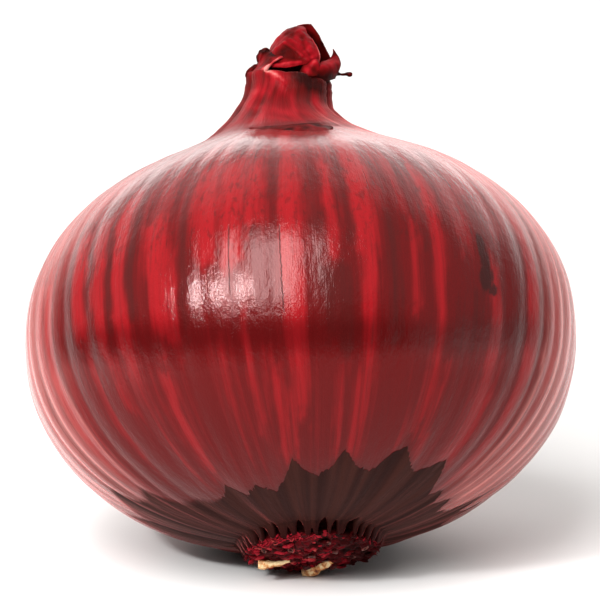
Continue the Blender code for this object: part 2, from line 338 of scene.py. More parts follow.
# soft lighter and darker areas of the neck, partly its own tone and partly painted shade,
# darkest under the folds at its rim: turn, height, half turn, half height in millimetres, change
# of tone
neckLightAndShade = (
    (-42, 38.0, 16, 2.2, 0.40),
    (-18, 40.3, 9, 1.2, 0.35),
    (-4, 39.0, 5, 1.6, 0.30),
    (2, 33.6, 34, 1.8, 0.34),
    (36, 35.4, 16, 2.0, 0.22),
    (24, 40.3, 17, 1.7, -0.60),
    (40, 38.6, 14, 1.6, -0.30),
    (62, 40.4, 22, 2.4, -0.40),
    (-12, 37.4, 4, 2.2, -0.22),
    (-66, 39.4, 12, 2.2, -0.25),
    (12, 36.6, 3, 2.0, 0.18),
    (-75, 35.0, 20, 1.6, -0.15),
)


def bareBody(latitude):
    upper = latitude > 0
    wide = np.where(upper, bulbShape["crownFullness"][0], bulbShape["baseFullness"][0])
    tall = np.where(upper, bulbShape["crownFullness"][1], bulbShape["baseFullness"][1])
    reach = np.where(upper, bulbShape["crownHeight"], -bulbShape["baseDepth"])
    radius = bulbShape["equatorRadius"] * np.cos(latitude) ** (2 / wide)
    return np.stack([radius, reach * np.abs(np.sin(latitude)) ** (2 / tall)], -1)


def flareCurve():
    start, before = bareBody(np.array([bulbShape["shoulder"], bulbShape["shoulder"] - 0.01]))
    along = (start - before) / np.linalg.norm(start - before)
    end = np.array(bulbShape["trunkFoot"])
    handleA = start + along * bulbShape["flareReach"]
    handleB = end - np.array((0.0, bulbShape["trunkStraight"]))
    u = (np.arange(1, bulbShape["flareRings"] + 1) / bulbShape["flareRings"])[:, None]
    first = start * (1 - u) ** 3 + handleA * (3 * u * (1 - u) ** 2)
    return first + handleB * (3 * u * u * (1 - u)) + end * u ** 3


def skinOutline():
    # radius and height of each ring, and its place: latitude in degrees, past 60 on the neck
    low = np.linspace(bulbShape["lowest"], bulbShape["baseTop"], bulbShape["baseRings"])
    high = np.linspace(bulbShape["baseTop"], bulbShape["shoulder"], bulbShape["bodyRings"])
    latitude = np.concatenate([low, high[1:]])
    hem = np.array(bulbShape["hem"])[::-1]
    outline = np.concatenate([hem, bareBody(latitude), flareCurve(), bulbShape["trunk"]])
    flarePlace = 60 + 25 * np.arange(1, bulbShape["flareRings"] + 1) / bulbShape["flareRings"]
    trunkPlace = 86 + np.arange(len(bulbShape["trunk"]))
    place = np.concatenate([bulbShape["hemPlaces"], np.degrees(latitude), flarePlace, trunkPlace])
    return outline, place


def ribColumns():
    # turn, rib number, how far across the rib, and the rib's strength, for each column
    draw = random.Random(ribs["seed"])
    grooves = list(ribs["grooves"])
    widths = [1 + ribs["unevenness"] * draw.uniform(-1, 1) for _ in range(ribs["behind"])]
    scale = (360 + grooves[0] - grooves[-1]) / sum(widths)
    for width in widths:
        grooves.append(grooves[-1] + width * scale)
    columns = []
    for rib in range(len(grooves) - 1):
        strength = draw.uniform(*ribs["strength"])
        for k in range(ribs["columnsEach"]):
            across = k / ribs["columnsEach"]
            turn = grooves[rib] * (1 - across) + grooves[rib + 1] * across
            columns.append((math.radians(turn), rib, across, strength))
    return np.array(columns)


def wrapped(degrees):
    # the same angle, between -180 and 180
    return (degrees + 180) % 360 - 180


def around(turn, radius, height):
    return np.stack([radius * np.sin(turn), -radius * np.cos(turn), height], -1)


def pleatRelief(rib, across, twist):
    share = ((rib + across) / ribs["perPleat"] + twist) % 1.0
    return ribs["pleatDepth"] * (np.abs(np.sin(math.pi * share)) - ribs["pleatMean"])


def ridgeShare(turn, height):
    # how near a point of the neck lies to the folded ridge
    line = np.interp(turn, paleRidge["turns"], paleRidge["heights"])
    across = np.exp(-((height - line) / paleRidge["width"]) ** 2)
    return withinBand(turn, paleRidge["ends"]) * across


def skinRelief(radius, height, place, columns):
    turn, rib, across, strength = (columns[None, :, k] for k in range(4))
    ridge = np.sin(math.pi * across) ** ribs["roundness"] - ribs["mean"]
    facing = smoothStep(*ribs["front"], np.cos(turn))
    strength = strength * (1 - (1 - ribs["flatFront"]) * facing)
    strength = strength * (1 - ribs["lowCrown"] * smoothStep(*ribs["crown"], height))
    relief = ribs["height"] * strength * ridge * smoothStep(*ribs["fade"], radius)
    atBase = 1 - smoothStep(*ribs["baseFade"], height)
    folds = noiseAt(around(turn.ravel(), 1.0, 0 * turn.ravel()), ribs["baseFoldSize"], 6.1, 2)
    relief = relief * (1 - ribs["baseLoss"] * atBase) + ribs["baseFold"] * folds * atBase
    onNeck = (height > 0) * (1 - smoothStep(*ribs["pleatFade"], radius))
    relief = relief + onNeck * pleatRelief(rib, across, (place - 60) * ribs["pleatTwist"])
    off = wrapped(np.degrees(turn) - crease["turn"])
    rise = (height - crease["height"]) / crease["width"]
    relief = relief + paleRidge["rise"] * ridgeShare(wrapped(np.degrees(turn)), height)
    return relief - crease["depth"] * np.exp(-(off / crease["spread"]) ** 4 - rise * rise)


def slitDepths(turns):
    # how far the hem is cut back at each column
    draw = random.Random(slits["seed"])
    cuts = list(slits["front"])
    for k in range(slits["behind"]):
        step = (k + draw.uniform(0.2, 0.8)) * slits["behindReach"] / slits["behind"]
        width = draw.uniform(*slits["behindWidths"])
        cuts.append((slits["behindFrom"] + step, width, draw.uniform(*slits["behindDepths"])))
    degrees = np.degrees(turns)
    depth = np.zeros(len(turns))
    for turn, width, deep in cuts:
        off = np.abs(wrapped(degrees - turn)) / width
        depth = np.maximum(depth, deep * np.clip(1 - off, 0, 1) ** slits["sharpness"])
    ragged = np.array([noise.noise((math.sin(t) * 14, math.cos(t) * 14, 0.7)) for t in turns])
    return depth + slits["ragged"] * np.abs(ragged) * 2


def cutRings(outline, place, columns):
    # radius, height and place for each ring and column, with the lowest rings cut back
    rings = bulbShape["baseRings"] + len(bulbShape["hem"])
    lower = outline[:rings]
    steps = np.linalg.norm(np.diff(lower, axis=0), axis=1)
    length = np.concatenate([[0], np.cumsum(steps)])
    start = slitDepths(columns[:, 0])
    share = (length / length[-1])[:, None]
    at = start[None, :] * (1 - share) + length[-1] * share
    count = len(columns)
    radius = np.repeat(outline[:, :1], count, 1)
    height = np.repeat(outline[:, 1:], count, 1)
    places = np.repeat(place[:, None], count, 1)
    radius[:rings] = np.interp(at, length, lower[:, 0])
    height[:rings] = np.interp(at, length, lower[:, 1])
    places[:rings] = np.interp(at, length, place[:rings])
    return radius, height, places


def neckShift(turn, height):
    # how far each point of the neck moves to the right
    drift = bulbShape["neckDrift"] * withinBand(height, bulbShape["driftHeights"])
    side = smoothStep(*bulbShape["bulgeSide"], np.sin(turn))
    return bulbShape["neckBulge"] * side * smoothStep(*bulbShape["bulgeHeights"], height) - drift


def rimHeight(turn):
    return np.interp(wrapped(np.degrees(turn)), neckRim["turns"], neckRim["heights"])


def skinRings(columns):
    # points and places of every ring of the skin, from inside the hem up to the neck's rim
    outline, place = skinOutline()
    slope = np.gradient(outline, axis=0)
    slope /= np.linalg.norm(slope, axis=1, keepdims=True)
    radius, height, places = cutRings(outline, place, columns)
    relief = skinRelief(radius, height, place[:, None], columns)
    out = radius + slope[:, 1:] * relief
    up = height - slope[:, :1] * relief
    inner = (out[:1] - 2 * bulbShape["hemWall"], up[:1] + bulbShape["hemWall"])
    out, up = np.concatenate([inner[0], out]), np.concatenate([inner[1], up])
    places = np.concatenate([places[:1], places])
    share = smoothStep(neckRim["startsAt"], neckRim["level"], up)
    turn = columns[None, :, 0]
    up = up + share * (rimHeight(turn) - neckRim["level"])
    points = around(turn + 0 * out, out, up)
    points[..., 0] += neckShift(turn, up)
    return points, places


def roughened(points, place):
    # dents and wrinkles pushed into the skin, and the neck's folds for its painted shade
    flat = points.reshape(-1, 3)
    unit = flat / np.maximum(np.linalg.norm(flat, axis=1, keepdims=True), 1e-6)
    dented = noiseAt(flat, dents["size"], 3.1, 2) * dents["height"]
    stretched = flat * np.array([1.0, 1.0, neckWrinkles["stretch"]])
    onNeck = smoothStep(62, 80, place).ravel()
    wrinkles = noiseAt(stretched, neckWrinkles["size"], 7.7, 2) * neckWrinkles["height"]
    slanted = flat * np.array([1.0, 1.0, neckWrinkles["foldStretch"]])
    slanted[:, 0] += neckWrinkles["foldSlant"] * flat[:, 2]
    folds = 1 - 2.4 * np.abs(noiseAt(slanted, neckWrinkles["foldSize"], 2.2))
    wrinkles = (wrinkles + neckWrinkles["foldHeight"] * folds) * onNeck
    sideways = unit * np.array([1.0, 1.0, 0.2])
    shaped = flat + unit * dented[:, None] + sideways * wrinkles[:, None]
    return shaped.reshape(points.shape), folds


def neckInside(rim):
    # the neck's inner wall and floor, inside the last ring, which are painted dark as shade
    middle = rim.mean(0)
    inner = []
    for share, drop in neckRim["wallRings"]:
        ring = middle + (rim - middle) * np.array([share, share, 1.0])
        ring[:, 2] -= drop
        inner.append(ring)
    for share in neckRim["floorRings"]:
        ring = middle + (rim - middle) * share
        ring[:, 2] = neckRim["floor"]
        inner.append(ring)
    return np.array(inner)


# what colours the skin: stripes given as turn at the top, turn at the bottom, half width,
# highest and lowest latitude, and strength, all angles in degrees
stripeEnds = {"taper": 5, "above": 5, "below": (-4, 3), "sharpness": 3}
brightStripes = (
    (-79.0, -79.0, 2.6, 4, -48, 0.8),
    (-69.5, -70.0, 2.0, 12, -48, 0.7),
    (-65.0, -64.5, 2.3, 14, -22, 0.8),
    (-65.0, -64.5, 4.2, -18, -52, 0.9),
    (-53.0, -51.5, 2.3, 22, -8, 0.95),
    (-51.0, -50.0, 1.4, -8, -40, 0.5),
    (-47.0, -45.5, 2.0, 26, -10, 0.9),
    (-44.5, -43.5, 1.5, -10, -28, 0.6),
    (-41.0, -39.5, 2.0, 34, -14, 1.0),
    (-39.0, -38.0, 1.6, -14, -50, 0.55),
    (-31.5, -28.5, 3.2, 22, -14, 0.85),
    (-32.0, -31.5, 1.9, -20, -50, 0.95),
    (-27.0, -26.0, 1.2, 10, -16, 0.6),
    (-20.0, -19.0, 3.2, 40, 6, 0.85),
    (-14.0, -13.0, 2.6, 42, 4, 0.95),
    (-8.8, -8.4, 2.0, 38, 14, 0.8),
    (-17.0, -16.5, 1.0, -14, -50, 0.5),
    (-11.8, -11.0, 1.2, -10, -40, 0.6),
    (-6.2, -5.4, 1.6, -20, -52, 0.95),
    (-3.2, -2.6, 1.0, -28, -48, 0.9),
    (-1.2, -0.4, 2.5, 66, -36, 1.0),
    (8.2, 7.8, 1.5, 38, 2, 0.8),
    (8.5, 9.5, 1.1, -24, -52, 0.75),
    (16.2, 15.0, 2.9, 58, 6, 1.0),
    (15.2, 14.6, 1.5, 8, -26, 1.0),
    (14.8, 13.8, 2.4, -22, -54, 0.95),
    (24.5, 24.0, 1.6, 44, 16, 0.45),
    (26.0, 24.6, 1.6, 14, -8, 0.7),
    (31.0, 31.2, 1.9, 36, -26, 0.9),
    (31.5, 31.0, 3.3, -22, -42, 0.95),
    (34.0, 36.0, 1.6, -38, -54, 0.8),
    (29.0, 27.8, 1.2, -36, -46, 0.7),
    (38.0, 37.5, 3.0, 34, 8, 0.4),
    (44.6, 46.2, 1.9, 6, -28, 0.95),
    (46.5, 48.0, 3.0, -24, -54, 0.85),
    (47.0, 47.5, 3.2, 32, 12, 0.45),
    (57.2, 58.4, 2.2, 34, -26, 1.0),
    (58.4, 60.0, 3.0, -22, -56, 0.9),
    (67.0, 69.0, 3.6, 24, -58, 0.6),
    (78.0, 79.0, 3.4, 20, -56, 0.6),
)
darkStripes = (
    (-73.0, -73.5, 1.2, 18, -52, 0.7),
    (-66.8, -67.2, 0.9, 14, -16, 0.7),
    (-59.0, -58.0, 1.8, 16, -12, 0.7),
    (-57.0, -56.0, 1.2, 30, -10, 0.5),
    (-49.6, -48.6, 1.1, 24, -14, 0.6),
    (-43.6, -42.8, 1.1, 36, -10, 0.75),
    (-37.2, -36.4, 1.4, 34, -6, 0.9),
    (-24.6, -23.8, 1.3, 36, -12, 0.7),
    (-5.0, -4.6, 1.9, 60, 22, 0.7),
    (4.2, 4.0, 2.3, 44, 12, 0.6),
    (7.5, 9.0, 5.0, 4, -19, 0.85),
    (11.6, 11.6, 1.7, 42, 6, 0.7),
    (21.0, 20.4, 2.2, 20, -16, 0.75),
    (28.6, 28.2, 0.9, 18, 4, 0.6),
    (35.5, 36.0, 1.6, -4, -18, 0.5),
    (40.6, 40.4, 1.7, 0, -20, 0.75),
    (52.0, 53.0, 2.2, 0, -48, 0.6),
    (60.6, 61.4, 1.4, 26, -44, 0.75),
    (66.6, 67.0, 0.9, 20, -16, 0.5),
    (73.0, 73.6, 1.8, 8, -18, 0.7),
)
darkSpots = (
    # turn, latitude, half width, half height
    (42.0, 9.6, 1.3, 3.6),
    (42.6, 5.2, 1.2, 3.8),
    (42.5, 1.2, 2.0, 3.2),
    (44.3, -1.4, 1.6, 1.6),
)
# pale stripes along the sides: partly paler, thinner skin, partly painted rim light
paleAndRimLitStripes = (
    (-116.0, -115.0, 1.2, 12, -52, 0.25),
    (-107.0, -106.0, 1.4, 24, -58, 0.38),
    (-98.5, -98.0, 1.6, 6, -60, 0.5),
    (-91.0, -91.0, 1.8, 34, -60, 0.7),
    (-84.0, -84.5, 1.5, 20, -60, 0.75),
    (-77.5, -78.0, 1.6, 28, -56, 0.8),
    (-71.0, -71.5, 1.1, 8, -50, 0.7),
    (-62.0, -62.5, 0.6, 4, -46, 0.35),
    (64.0, 64.5, 0.8, 2, -50, 0.5),
    (71.0, 72.0, 1.3, 26, -56, 0.7),
    (77.5, 78.0, 1.7, 12, -58, 0.8),
    (84.0, 85.0, 1.6, 32, -60, 0.75),
    (91.0, 92.0, 1.8, 8, -60, 0.7),
    (98.5, 99.0, 1.5, 26, -60, 0.5),
    (106.0, 107.0, 1.3, 0, -52, 0.38),
    (114.0, 115.0, 1.0, 20, -46, 0.25),
    (-50.0, -56.0, 3.0, 62, 38, 0.4),
    (48.0, 54.0, 3.0, 60, 36, 0.4),
)
# the two sides: where the brown fades and comes back, where the gloss does, and a painted
# pale-pink rim light that begins nearer to the front higher up
flanks = {
    "brownTurns": (44, 62, 98, 124),
    "lessBrown": 0.6,
    "dullTurns": (44, 60, 72, 84),
    "lessGloss": 0.6,
    "paleKeepsGloss": 0.7,
    "rimLightWash": 0.32,
    "rimLightFrom": (56, 80),
    "rimLightTo": (96, 122),
    "rimLightTop": (40, 56),
    "rimLightLean": 0.45,
    "stripeTaper": 26,
}
# a painted dark reflection: a darker band in front, just under the middle; turn and latitude of its
# centre line
paintedReflectionBand = {
    "turns": (-90, -56, -34, 0, 34, 57, 90),
    "latitudes": (-6, -7, -11, -15.5, -15, -10, -8),
    "height": 4.6,
    "strength": 0.55,
    "ends": (52, 72),
}
# where the skin is redder or darker over a wide area; the redder patches far out on both sides are
# painted rim light
tintAreas = (
    # turn, latitude, half width, half height, strength
    (-14, 20, 16, 16, 0.16),
    (4, 46, 30, 12, 0.22),
    (-6, -30, 26, 24, -0.04),
    (-45, -28, 26, 22, 0.08),
    (38, 6, 16, 26, -0.22),
    (24, -30, 8, 18, -0.25),
    (-52, 20, 22, 14, 0.05),
    (66, 0, 14, 50, -0.10),
    (54, -32, 10, 20, 0.25),
    (60, 36, 26, 16, 0.30),
    (80, -5, 20, 50, 0.38),
    (-82, -5, 20, 50, 0.38),
)
# stripes and torn edge of the side that faces away, drawn by chance between these limits
backStripes = {
    "seed": 8,
    "from": 84,
    "to": 276,
    "brightWidth": (1.2, 3.4),
    "brightTop": (15, 62),
    "brightFoot": (-56, -10),
    "brightStrength": (0.5, 1.0),
    "darkGap": (1.5, 3.5),
    "darkWidth": (0.9, 2.2),
    "darkTop": (10, 55),
    "darkFoot": (-45, 0),
    "darkStrength": (0.4, 0.9),
    "space": (2.0, 5.0),
    "tornFrom": 92,
    "tornTo": 268,
    "tornStep": (4, 9),
    "peaks": (-52, -44),
    "hollows": (-61, -54),
    "paleSeed": 17,
    "paleTurns": range(123, 238, 9),
    "paleDrift": 3.5,
    "paleWidth": (0.7, 1.6),
    "paleTop": (0, 36),
    "paleFoot": -58,
    "paleStrength": (0.1, 0.35),
}
# edge of the darker skin round the base: turn and latitude, peaks and hollows in turn
tornEdge = (
    (-88, -50), (-80, -43.5), (-75, -51), (-70, -52), (-65, -48.5), (-58, -57.5), (-50, -58.5),
    (-43, -60.5), (-36, -59.5), (-32, -56), (-26, -60.5), (-20, -57.5), (-13, -60.5),
    (-9, -57), (-4.5, -50), (-1, -53.5), (4, -56), (8, -53), (12, -47.5), (16, -52.5),
    (22, -54.5), (26, -50), (30.5, -45), (34, -50), (39, -53.5), (43, -51.5), (48, -48),
    (52, -54), (57, -60), (62, -57), (67, -63), (73, -58), (79, -63), (88, -60),
)
# how sharply the darker base skin ends: softly on the left, sharply in front and on the right
tornLook = {
    "steep": 0.62,
    "wavy": 0.3,
    "frayed": 0.55,
    "softTurns": (30, 46, 100, 130),
    "softness": 0.86,
}
# changes of the skin from the crown down: latitudes in degrees, and how much
skinBands = {
    "crownRed": (8, 24),
    "crownRedShare": 0.55,
    "mottled": (0, 14, 40, 56),
    # below the painted dark band the red and the brown are weaker and the skin duller, most of all
    # in front
    "lowRed": (-26, -12),
    "lessRed": 0.4,
    "lowBrown": (-26, -14),
    "lessBrown": 0.35,
    "lowGloss": (-26, -13),
    "lessGloss": 0.2,
    "lessGlossInFront": 0.55,
    "front": (0.30, 0.70),
    # the skin is darker towards the hem
    "darkerHem": (-80, -73),
    "hemDarkness": 0.9,
}
neckShades = {"tone": 0.46, "change": 0.22, "from": (61, 73)}
# noise that bends and frays the skin's masks: stretch along the height, size and shift
skinWaves = {
    "wave": (2.2, 0.16, 1.7),
    "fine": (1.2, 0.035, 5.2),
    "crown": (0.8, 0.09, 9.4),
    "neck": (0.5, 0.16, 2.9),
    "frayed": (1.6, 0.012, 3.3),
    # by how many degrees the waves bend the stripes
    "waveBend": 0.9,
    "fineBend": 0.35,
    "fineLift": 5,
    # degrees of latitude to one unit of height
    "rise": 160,
}


def stripeShare(stripes, turn, latitude, taper=stripeEnds["taper"]):
    share = np.zeros(len(turn))
    below = stripeEnds["below"]
    for top, bottom, width, high, low, strength in stripes:
        down = np.clip((high - latitude) / (high - low), 0, 1)
        off = wrapped(turn - (top + (bottom - top) * down))
        edges = (low + below[0], low + below[1], high - taper, high + stripeEnds["above"])
        across = np.exp(-(np.abs(off) / width) ** stripeEnds["sharpness"])
        share = np.maximum(share, strength * withinBand(latitude, edges) * across)
    return share


def stripesBehind():
    # bright and dark stripes, and the torn edge, of the side that faces away
    draw = random.Random(backStripes["seed"])

    def between(name):
        return draw.uniform(*backStripes[name])

    bright, dark, torn = [], [], []
    turn = backStripes["from"]
    while turn < backStripes["to"]:
        width, high, low = between("brightWidth"), between("brightTop"), between("brightFoot")
        lean = draw.uniform(-1, 1)
        bright.append((turn, turn + lean, width, high, low, between("brightStrength")))
        gap = turn + width + between("darkGap")
        dark.append((gap, gap + lean, between("darkWidth"), between("darkTop"),
                     between("darkFoot"), between("darkStrength")))
        turn += 2 * width + between("space")
    turn, peak = backStripes["tornFrom"], True
    while turn < backStripes["tornTo"]:
        torn.append((turn, between("peaks" if peak else "hollows")))
        turn += between("tornStep")
        peak = not peak
    return tuple(bright), tuple(dark), torn


def paleBehind():
    draw = random.Random(backStripes["paleSeed"])
    pale = []
    for turn in backStripes["paleTurns"]:
        top = turn + draw.uniform(-backStripes["paleDrift"], backStripes["paleDrift"])
        foot = top + draw.uniform(-1, 1)
        width = draw.uniform(*backStripes["paleWidth"])
        high = draw.uniform(*backStripes["paleTop"])
        strength = draw.uniform(*backStripes["paleStrength"])
        pale.append((top, foot, width, high, backStripes["paleFoot"], strength))
    return tuple(pale)


def tornLatitude(turn, behind):
    # latitude of the torn edge at each turn, from peak to hollow all the way round
    front = [(t % 360, lat) for t, lat in tornEdge]
    edge = sorted(front + [(t % 360, lat) for t, lat in behind])
    turns = [edge[-1][0] - 360] + [t for t, _ in edge] + [edge[0][0] + 360]
    heights = [edge[-1][1]] + [lat for _, lat in edge] + [edge[0][1]]
    return np.interp(turn % 360, turns, heights)


def areaShare(areas, across, height):
    # the sum of soft round patches, each with its place, half width, half height and change
    share = np.zeros(len(across))
    for middle, level, width, tall, change in areas:
        share += change * np.exp(-((across - middle) / width) ** 2 - ((height - level) / tall) ** 2)
    return share


def skinWave(flow, name, octaves=2):
    stretch, size, shift = skinWaves[name]
    return noiseAt(flow * np.array([1, 1, stretch]), size, shift, octaves)


def neckTone(turn, height, flow, folds):
    uneven = skinWave(flow, "neck", 1)
    # painted shade: lighter along the ridges of the folds, darker between them
    tone = neckShades["tone"] + neckShades["change"] * uneven + neckWrinkles["foldShade"] * folds
    tone = np.clip(tone + areaShare(neckLightAndShade, turn, height * 1000), 0.0, 1.2)
    paler = np.interp(turn, paleRidge["turns"], paleRidge["tones"]) * ridgeShare(turn, height)
    return tone + paler


def spotShare(turn, bentTurn, latitude):
    spots = np.zeros(len(turn))
    for spotTurn, spotLatitude, width, height in darkSpots:
        away = ((bentTurn - spotTurn) / width) ** 2 + ((latitude - spotLatitude) / height) ** 2
        spots = np.maximum(spots, np.exp(-away ** 2))
    return spots


# painted dark reflection: how strongly the band darkens each point
def reflectionBandShare(turn, latitude, wave):
    middle = np.interp(turn, paintedReflectionBand["turns"], paintedReflectionBand["latitudes"]) + 1.2 * wave
    away = np.abs((latitude - middle) / paintedReflectionBand["height"])
    ends = 1 - smoothStep(*paintedReflectionBand["ends"], np.abs(turn))
    return paintedReflectionBand["strength"] * np.exp(-away ** 3) * ends


def paleAndRimLightShare(turn, latitude, wave, fine):
    # pale stripes, partly painted rim light, and a painted rim light over both sides
    stripes = paleAndRimLitStripes + paleBehind()
    pale = stripeShare(stripes, turn + 0.7 * wave, latitude + 6 * fine, flanks["stripeTaper"])
    fromSide = np.abs(turn) + flanks["rimLightLean"] * np.maximum(latitude, 0) + 5 * wave
    atSide = smoothStep(*flanks["rimLightFrom"], fromSide)
    atSide = atSide * (1 - smoothStep(*flanks["rimLightTo"], np.abs(turn)))
    low = 1 - smoothStep(*flanks["rimLightTop"], latitude)
    return np.maximum(pale, flanks["rimLightWash"] * atSide * low)


def creaseShadeAndHemShare(turn, latitude, height):
    # painted shade in the crease at the neck's foot, and darker skin towards the hem
    paintedShadeAndDark = np.exp(-(((turn - crease["turn"]) / crease["spread"]) ** 4)
                  - ((height - crease["height"]) / crease["width"]) ** 2)
    hem = skinBands["hemDarkness"] * (1 - smoothStep(*skinBands["darkerHem"], latitude))
    return np.maximum(crease["paintedShadeAndDark"] * paintedShadeAndDark, hem)


def baseShare(turn, latitude, flow, fine, torn):
    # how far a point lies inside the torn edge of the darker base skin
    edge = tornLatitude(turn + 0.25 * fine, torn)
    inside = (edge - latitude) * tornLook["steep"] + tornLook["wavy"] * fine
    inside = inside + tornLook["frayed"] * skinWave(flow, "frayed")
    return inside * (1 - tornLook["softness"] * withinBand(-turn, tornLook["softTurns"]))


def glossShare(turn, latitude, pale):
    front = smoothStep(*skinBands["front"], np.cos(np.radians(turn)))
    less = skinBands["lessGloss"] + skinBands["lessGlossInFront"] * front
    gloss = 1 - less * (1 - smoothStep(*skinBands["lowGloss"], latitude))
    dull = flanks["lessGloss"] * withinBand(np.abs(turn), flanks["dullTurns"])
    return gloss * (1 - dull * (1 - flanks["paleKeepsGloss"] * np.clip(pale, 0, 1)))


def skinPattern(points, place, columns, folds):
    # every mask of the skin's finish, for each of its points
    turn = wrapped(np.degrees(np.broadcast_to(columns[None, :, 0], points.shape[:2])).ravel())
    latitude = place.ravel()
    rise = latitude / skinWaves["rise"]
    flow = np.stack([np.sin(np.radians(turn)), np.cos(np.radians(turn)), rise], -1)
    wave, fine = skinWave(flow, "wave"), skinWave(flow, "fine")
    bright, dark, torn = stripesBehind()
    bentTurn = turn + skinWaves["waveBend"] * wave + skinWaves["fineBend"] * fine
    bentLatitude = latitude + skinWaves["fineLift"] * fine
    red = stripeShare(brightStripes + bright, bentTurn, bentLatitude)
    crown = np.clip(0.5 + 0.8 * skinWave(flow, "crown"), 0, 1)
    crown = crown * skinBands["crownRedShare"] * smoothStep(*skinBands["crownRed"], latitude)
    red = np.maximum(red, crown) + areaShare(tintAreas, turn, latitude)
    red = red * (1 - skinBands["lessRed"] * (1 - smoothStep(*skinBands["lowRed"], latitude)))
    brown = stripeShare(darkStripes + dark, bentTurn, bentLatitude)
    low = 1 - smoothStep(*skinBands["lowBrown"], latitude)
    brown = brown * (1 - skinBands["lessBrown"] * low)
    brown = brown * (1 - flanks["lessBrown"] * withinBand(np.abs(turn), flanks["brownTurns"]))
    height = points[..., 2].ravel()
    pale = paleAndRimLightShare(turn, latitude, wave, fine)
    return {
        "red": red,
        "brown": brown,
        "spots": spotShare(turn, bentTurn, latitude),
        "baseSkin": baseShare(turn, latitude, flow, fine, torn),
        "gloss": glossShare(turn, latitude, pale),
        "tone": neckTone(turn, height, flow, folds),
        "pale": pale,
        "reflectionBand": reflectionBandShare(turn, latitude, wave),
        "mottle": withinBand(latitude, skinBands["mottled"]),
        "paintedShadeAndDark": creaseShadeAndHemShare(turn, latitude, height),
        "flow": flow,
    }


def bulbSkin(finish):
    columns = ribColumns()
    points, place = skinRings(columns)
    points, folds = roughened(points, place)
    pattern = skinPattern(points, place, columns, folds)
    inside = neckInside(points[-1])
    count = len(columns)
    every = np.concatenate([points, inside]).reshape(-1, 3)
    rings = len(points) + len(inside)
    mesh = makeMesh("bulbSkin", every, ringFaces(rings, count))
    extra = len(inside) * count
    for name in ("red", "brown", "spots", "baseSkin", "gloss", "tone", "pale", "reflectionBand", "mottle",
                 "paintedShadeAndDark"):
        tail = np.full(extra, -9.0 if name == "baseSkin" else 0.0)
        addNumbers(mesh, name, np.concatenate([pattern[name], tail]))
    topFlow = pattern["flow"][-count:].repeat(len(inside), 0)
    addPlaces(mesh, "flow", np.concatenate([pattern["flow"], topFlow]))
    neck = smoothStep(*neckShades["from"], place).ravel()
    addNumbers(mesh, "neck", np.concatenate([neck, np.ones(extra)]))
    turn = wrapped(np.degrees(columns[:, 0]))
    rim = np.zeros((rings, count))
    onRim = slice(len(points) - 1, len(points) + 1)
    rim[onRim] = withinBand(turn, paleRidge["rimTurns"]) * paleRidge["rimShare"]
    addNumbers(mesh, "paleRim", rim.ravel())
    # painted shade inside the neck, darkest at its floor
    hollow = np.repeat(np.linspace(0, 1, len(inside)), count)
    addNumbers(mesh, "hollow", np.concatenate([np.zeros(len(points) * count), hollow]))
    return addPiece("bulbSkin", mesh, finish, "bulb")


leafTones = (
    # half the tone, which runs from 0 to 2, and its colour: dark brown, maroon, two reds,
    # pale red and pale pink
    (0.0, (0.014, 0.0010, 0.0008, 1)),
    (0.18, (0.068, 0.0016, 0.0016, 1)),
    (0.35, (0.145, 0.0022, 0.0044, 1)),
    (0.52, (0.25, 0.0046, 0.0092, 1)),
    (0.68, (0.38, 0.045, 0.046, 1)),
    (0.85, (0.52, 0.20, 0.18, 1)),
)


def toneColour(tree, tone, tones=leafTones):
    ramp = addNode(tree, "ShaderNodeValToRGB")
    stops = ramp.color_ramp.elements
    while len(stops) < len(tones):
        stops.new(0.5)
    for stop, (place, colour) in zip(stops, tones):
        stop.position = place
        stop.color = colour
    feed(tree, ramp.inputs["Fac"], maths(tree, "MULTIPLY", tone, 0.5))
    return ramp.outputs["Color"]


skinLook = {
    "maroon": (0.080, 0.0036, 0.0040, 1),
    "red": (0.222, 0.0056, 0.0082, 1),
    "brown": (0.042, 0.006, 0.0055, 1),
    "spot": (0.024, 0.0055, 0.005, 1),
    # colour of the painted dark reflection
    "reflectionBand": (0.036, 0.0016, 0.0018, 1),
    "paleAndRimLitPink": (0.68, 0.185, 0.16, 1),
    "baseDark": (0.0085, 0.0026, 0.0018, 1),
    "baseLight": (0.031, 0.0092, 0.0064, 1),
    # dark colour of the cracks, of the painted shade in the neck's crease and of the darker hem
    "paintedShadeAndDark": (0.011, 0.0013, 0.0013, 1),
    "paleRim": (0.60, 0.25, 0.20, 1),
    "hollow": (0.018, 0.0025, 0.0025, 1),
    # a clear gloss over a tinted one, both weaker on the neck and the base
    "coat": 0.44,
    "coatIor": 1.42,
    "coatRoughness": 0.05,
    "coatLoss": 0.92,
    "under": 0.15,
    "underTint": (1.0, 0.30, 0.28, 1),
    "roughness": 0.16,
    "dullRoughness": 0.40,
    "matteRoughness": 0.25,
    "sheen": 0.42,
    "sheenRoughness": 0.25,
    "sheenTint": (1.0, 0.17, 0.16, 1),
    "bumpDepth": 0.00008,
    "tornStep": 0.00012,
}
# between which limits of its mask each layer of the skin sets in, and its least and full strength
skinSteps = {
    "red": (-0.08, 1.08),
    "thread": (0.4, 0.8, 0.0, 0.09),
    "brown": (0.15, 1.0, 0.0, 0.72),
    "patchy": (0.5, 0.7, 0.0, 0.5),
    "streaky": (0.2, 0.6, 0.45, 0.9),
    "spots": (0.1, 0.75, 0.0, 0.9),
    "darkerAboveTear": (-1.6, 0.2, 0.0, 0.45),
    "base": (-0.16, 0.16),
    "baseTone": (0.3, 0.75),
    # relief: threads are weaker on the neck, pebbles stronger in front
    "neckThreads": (0.0, 1.0, 0.30, 0.06),
    "frontPebbles": (0.3, 0.8, 0.10, 0.45),
}
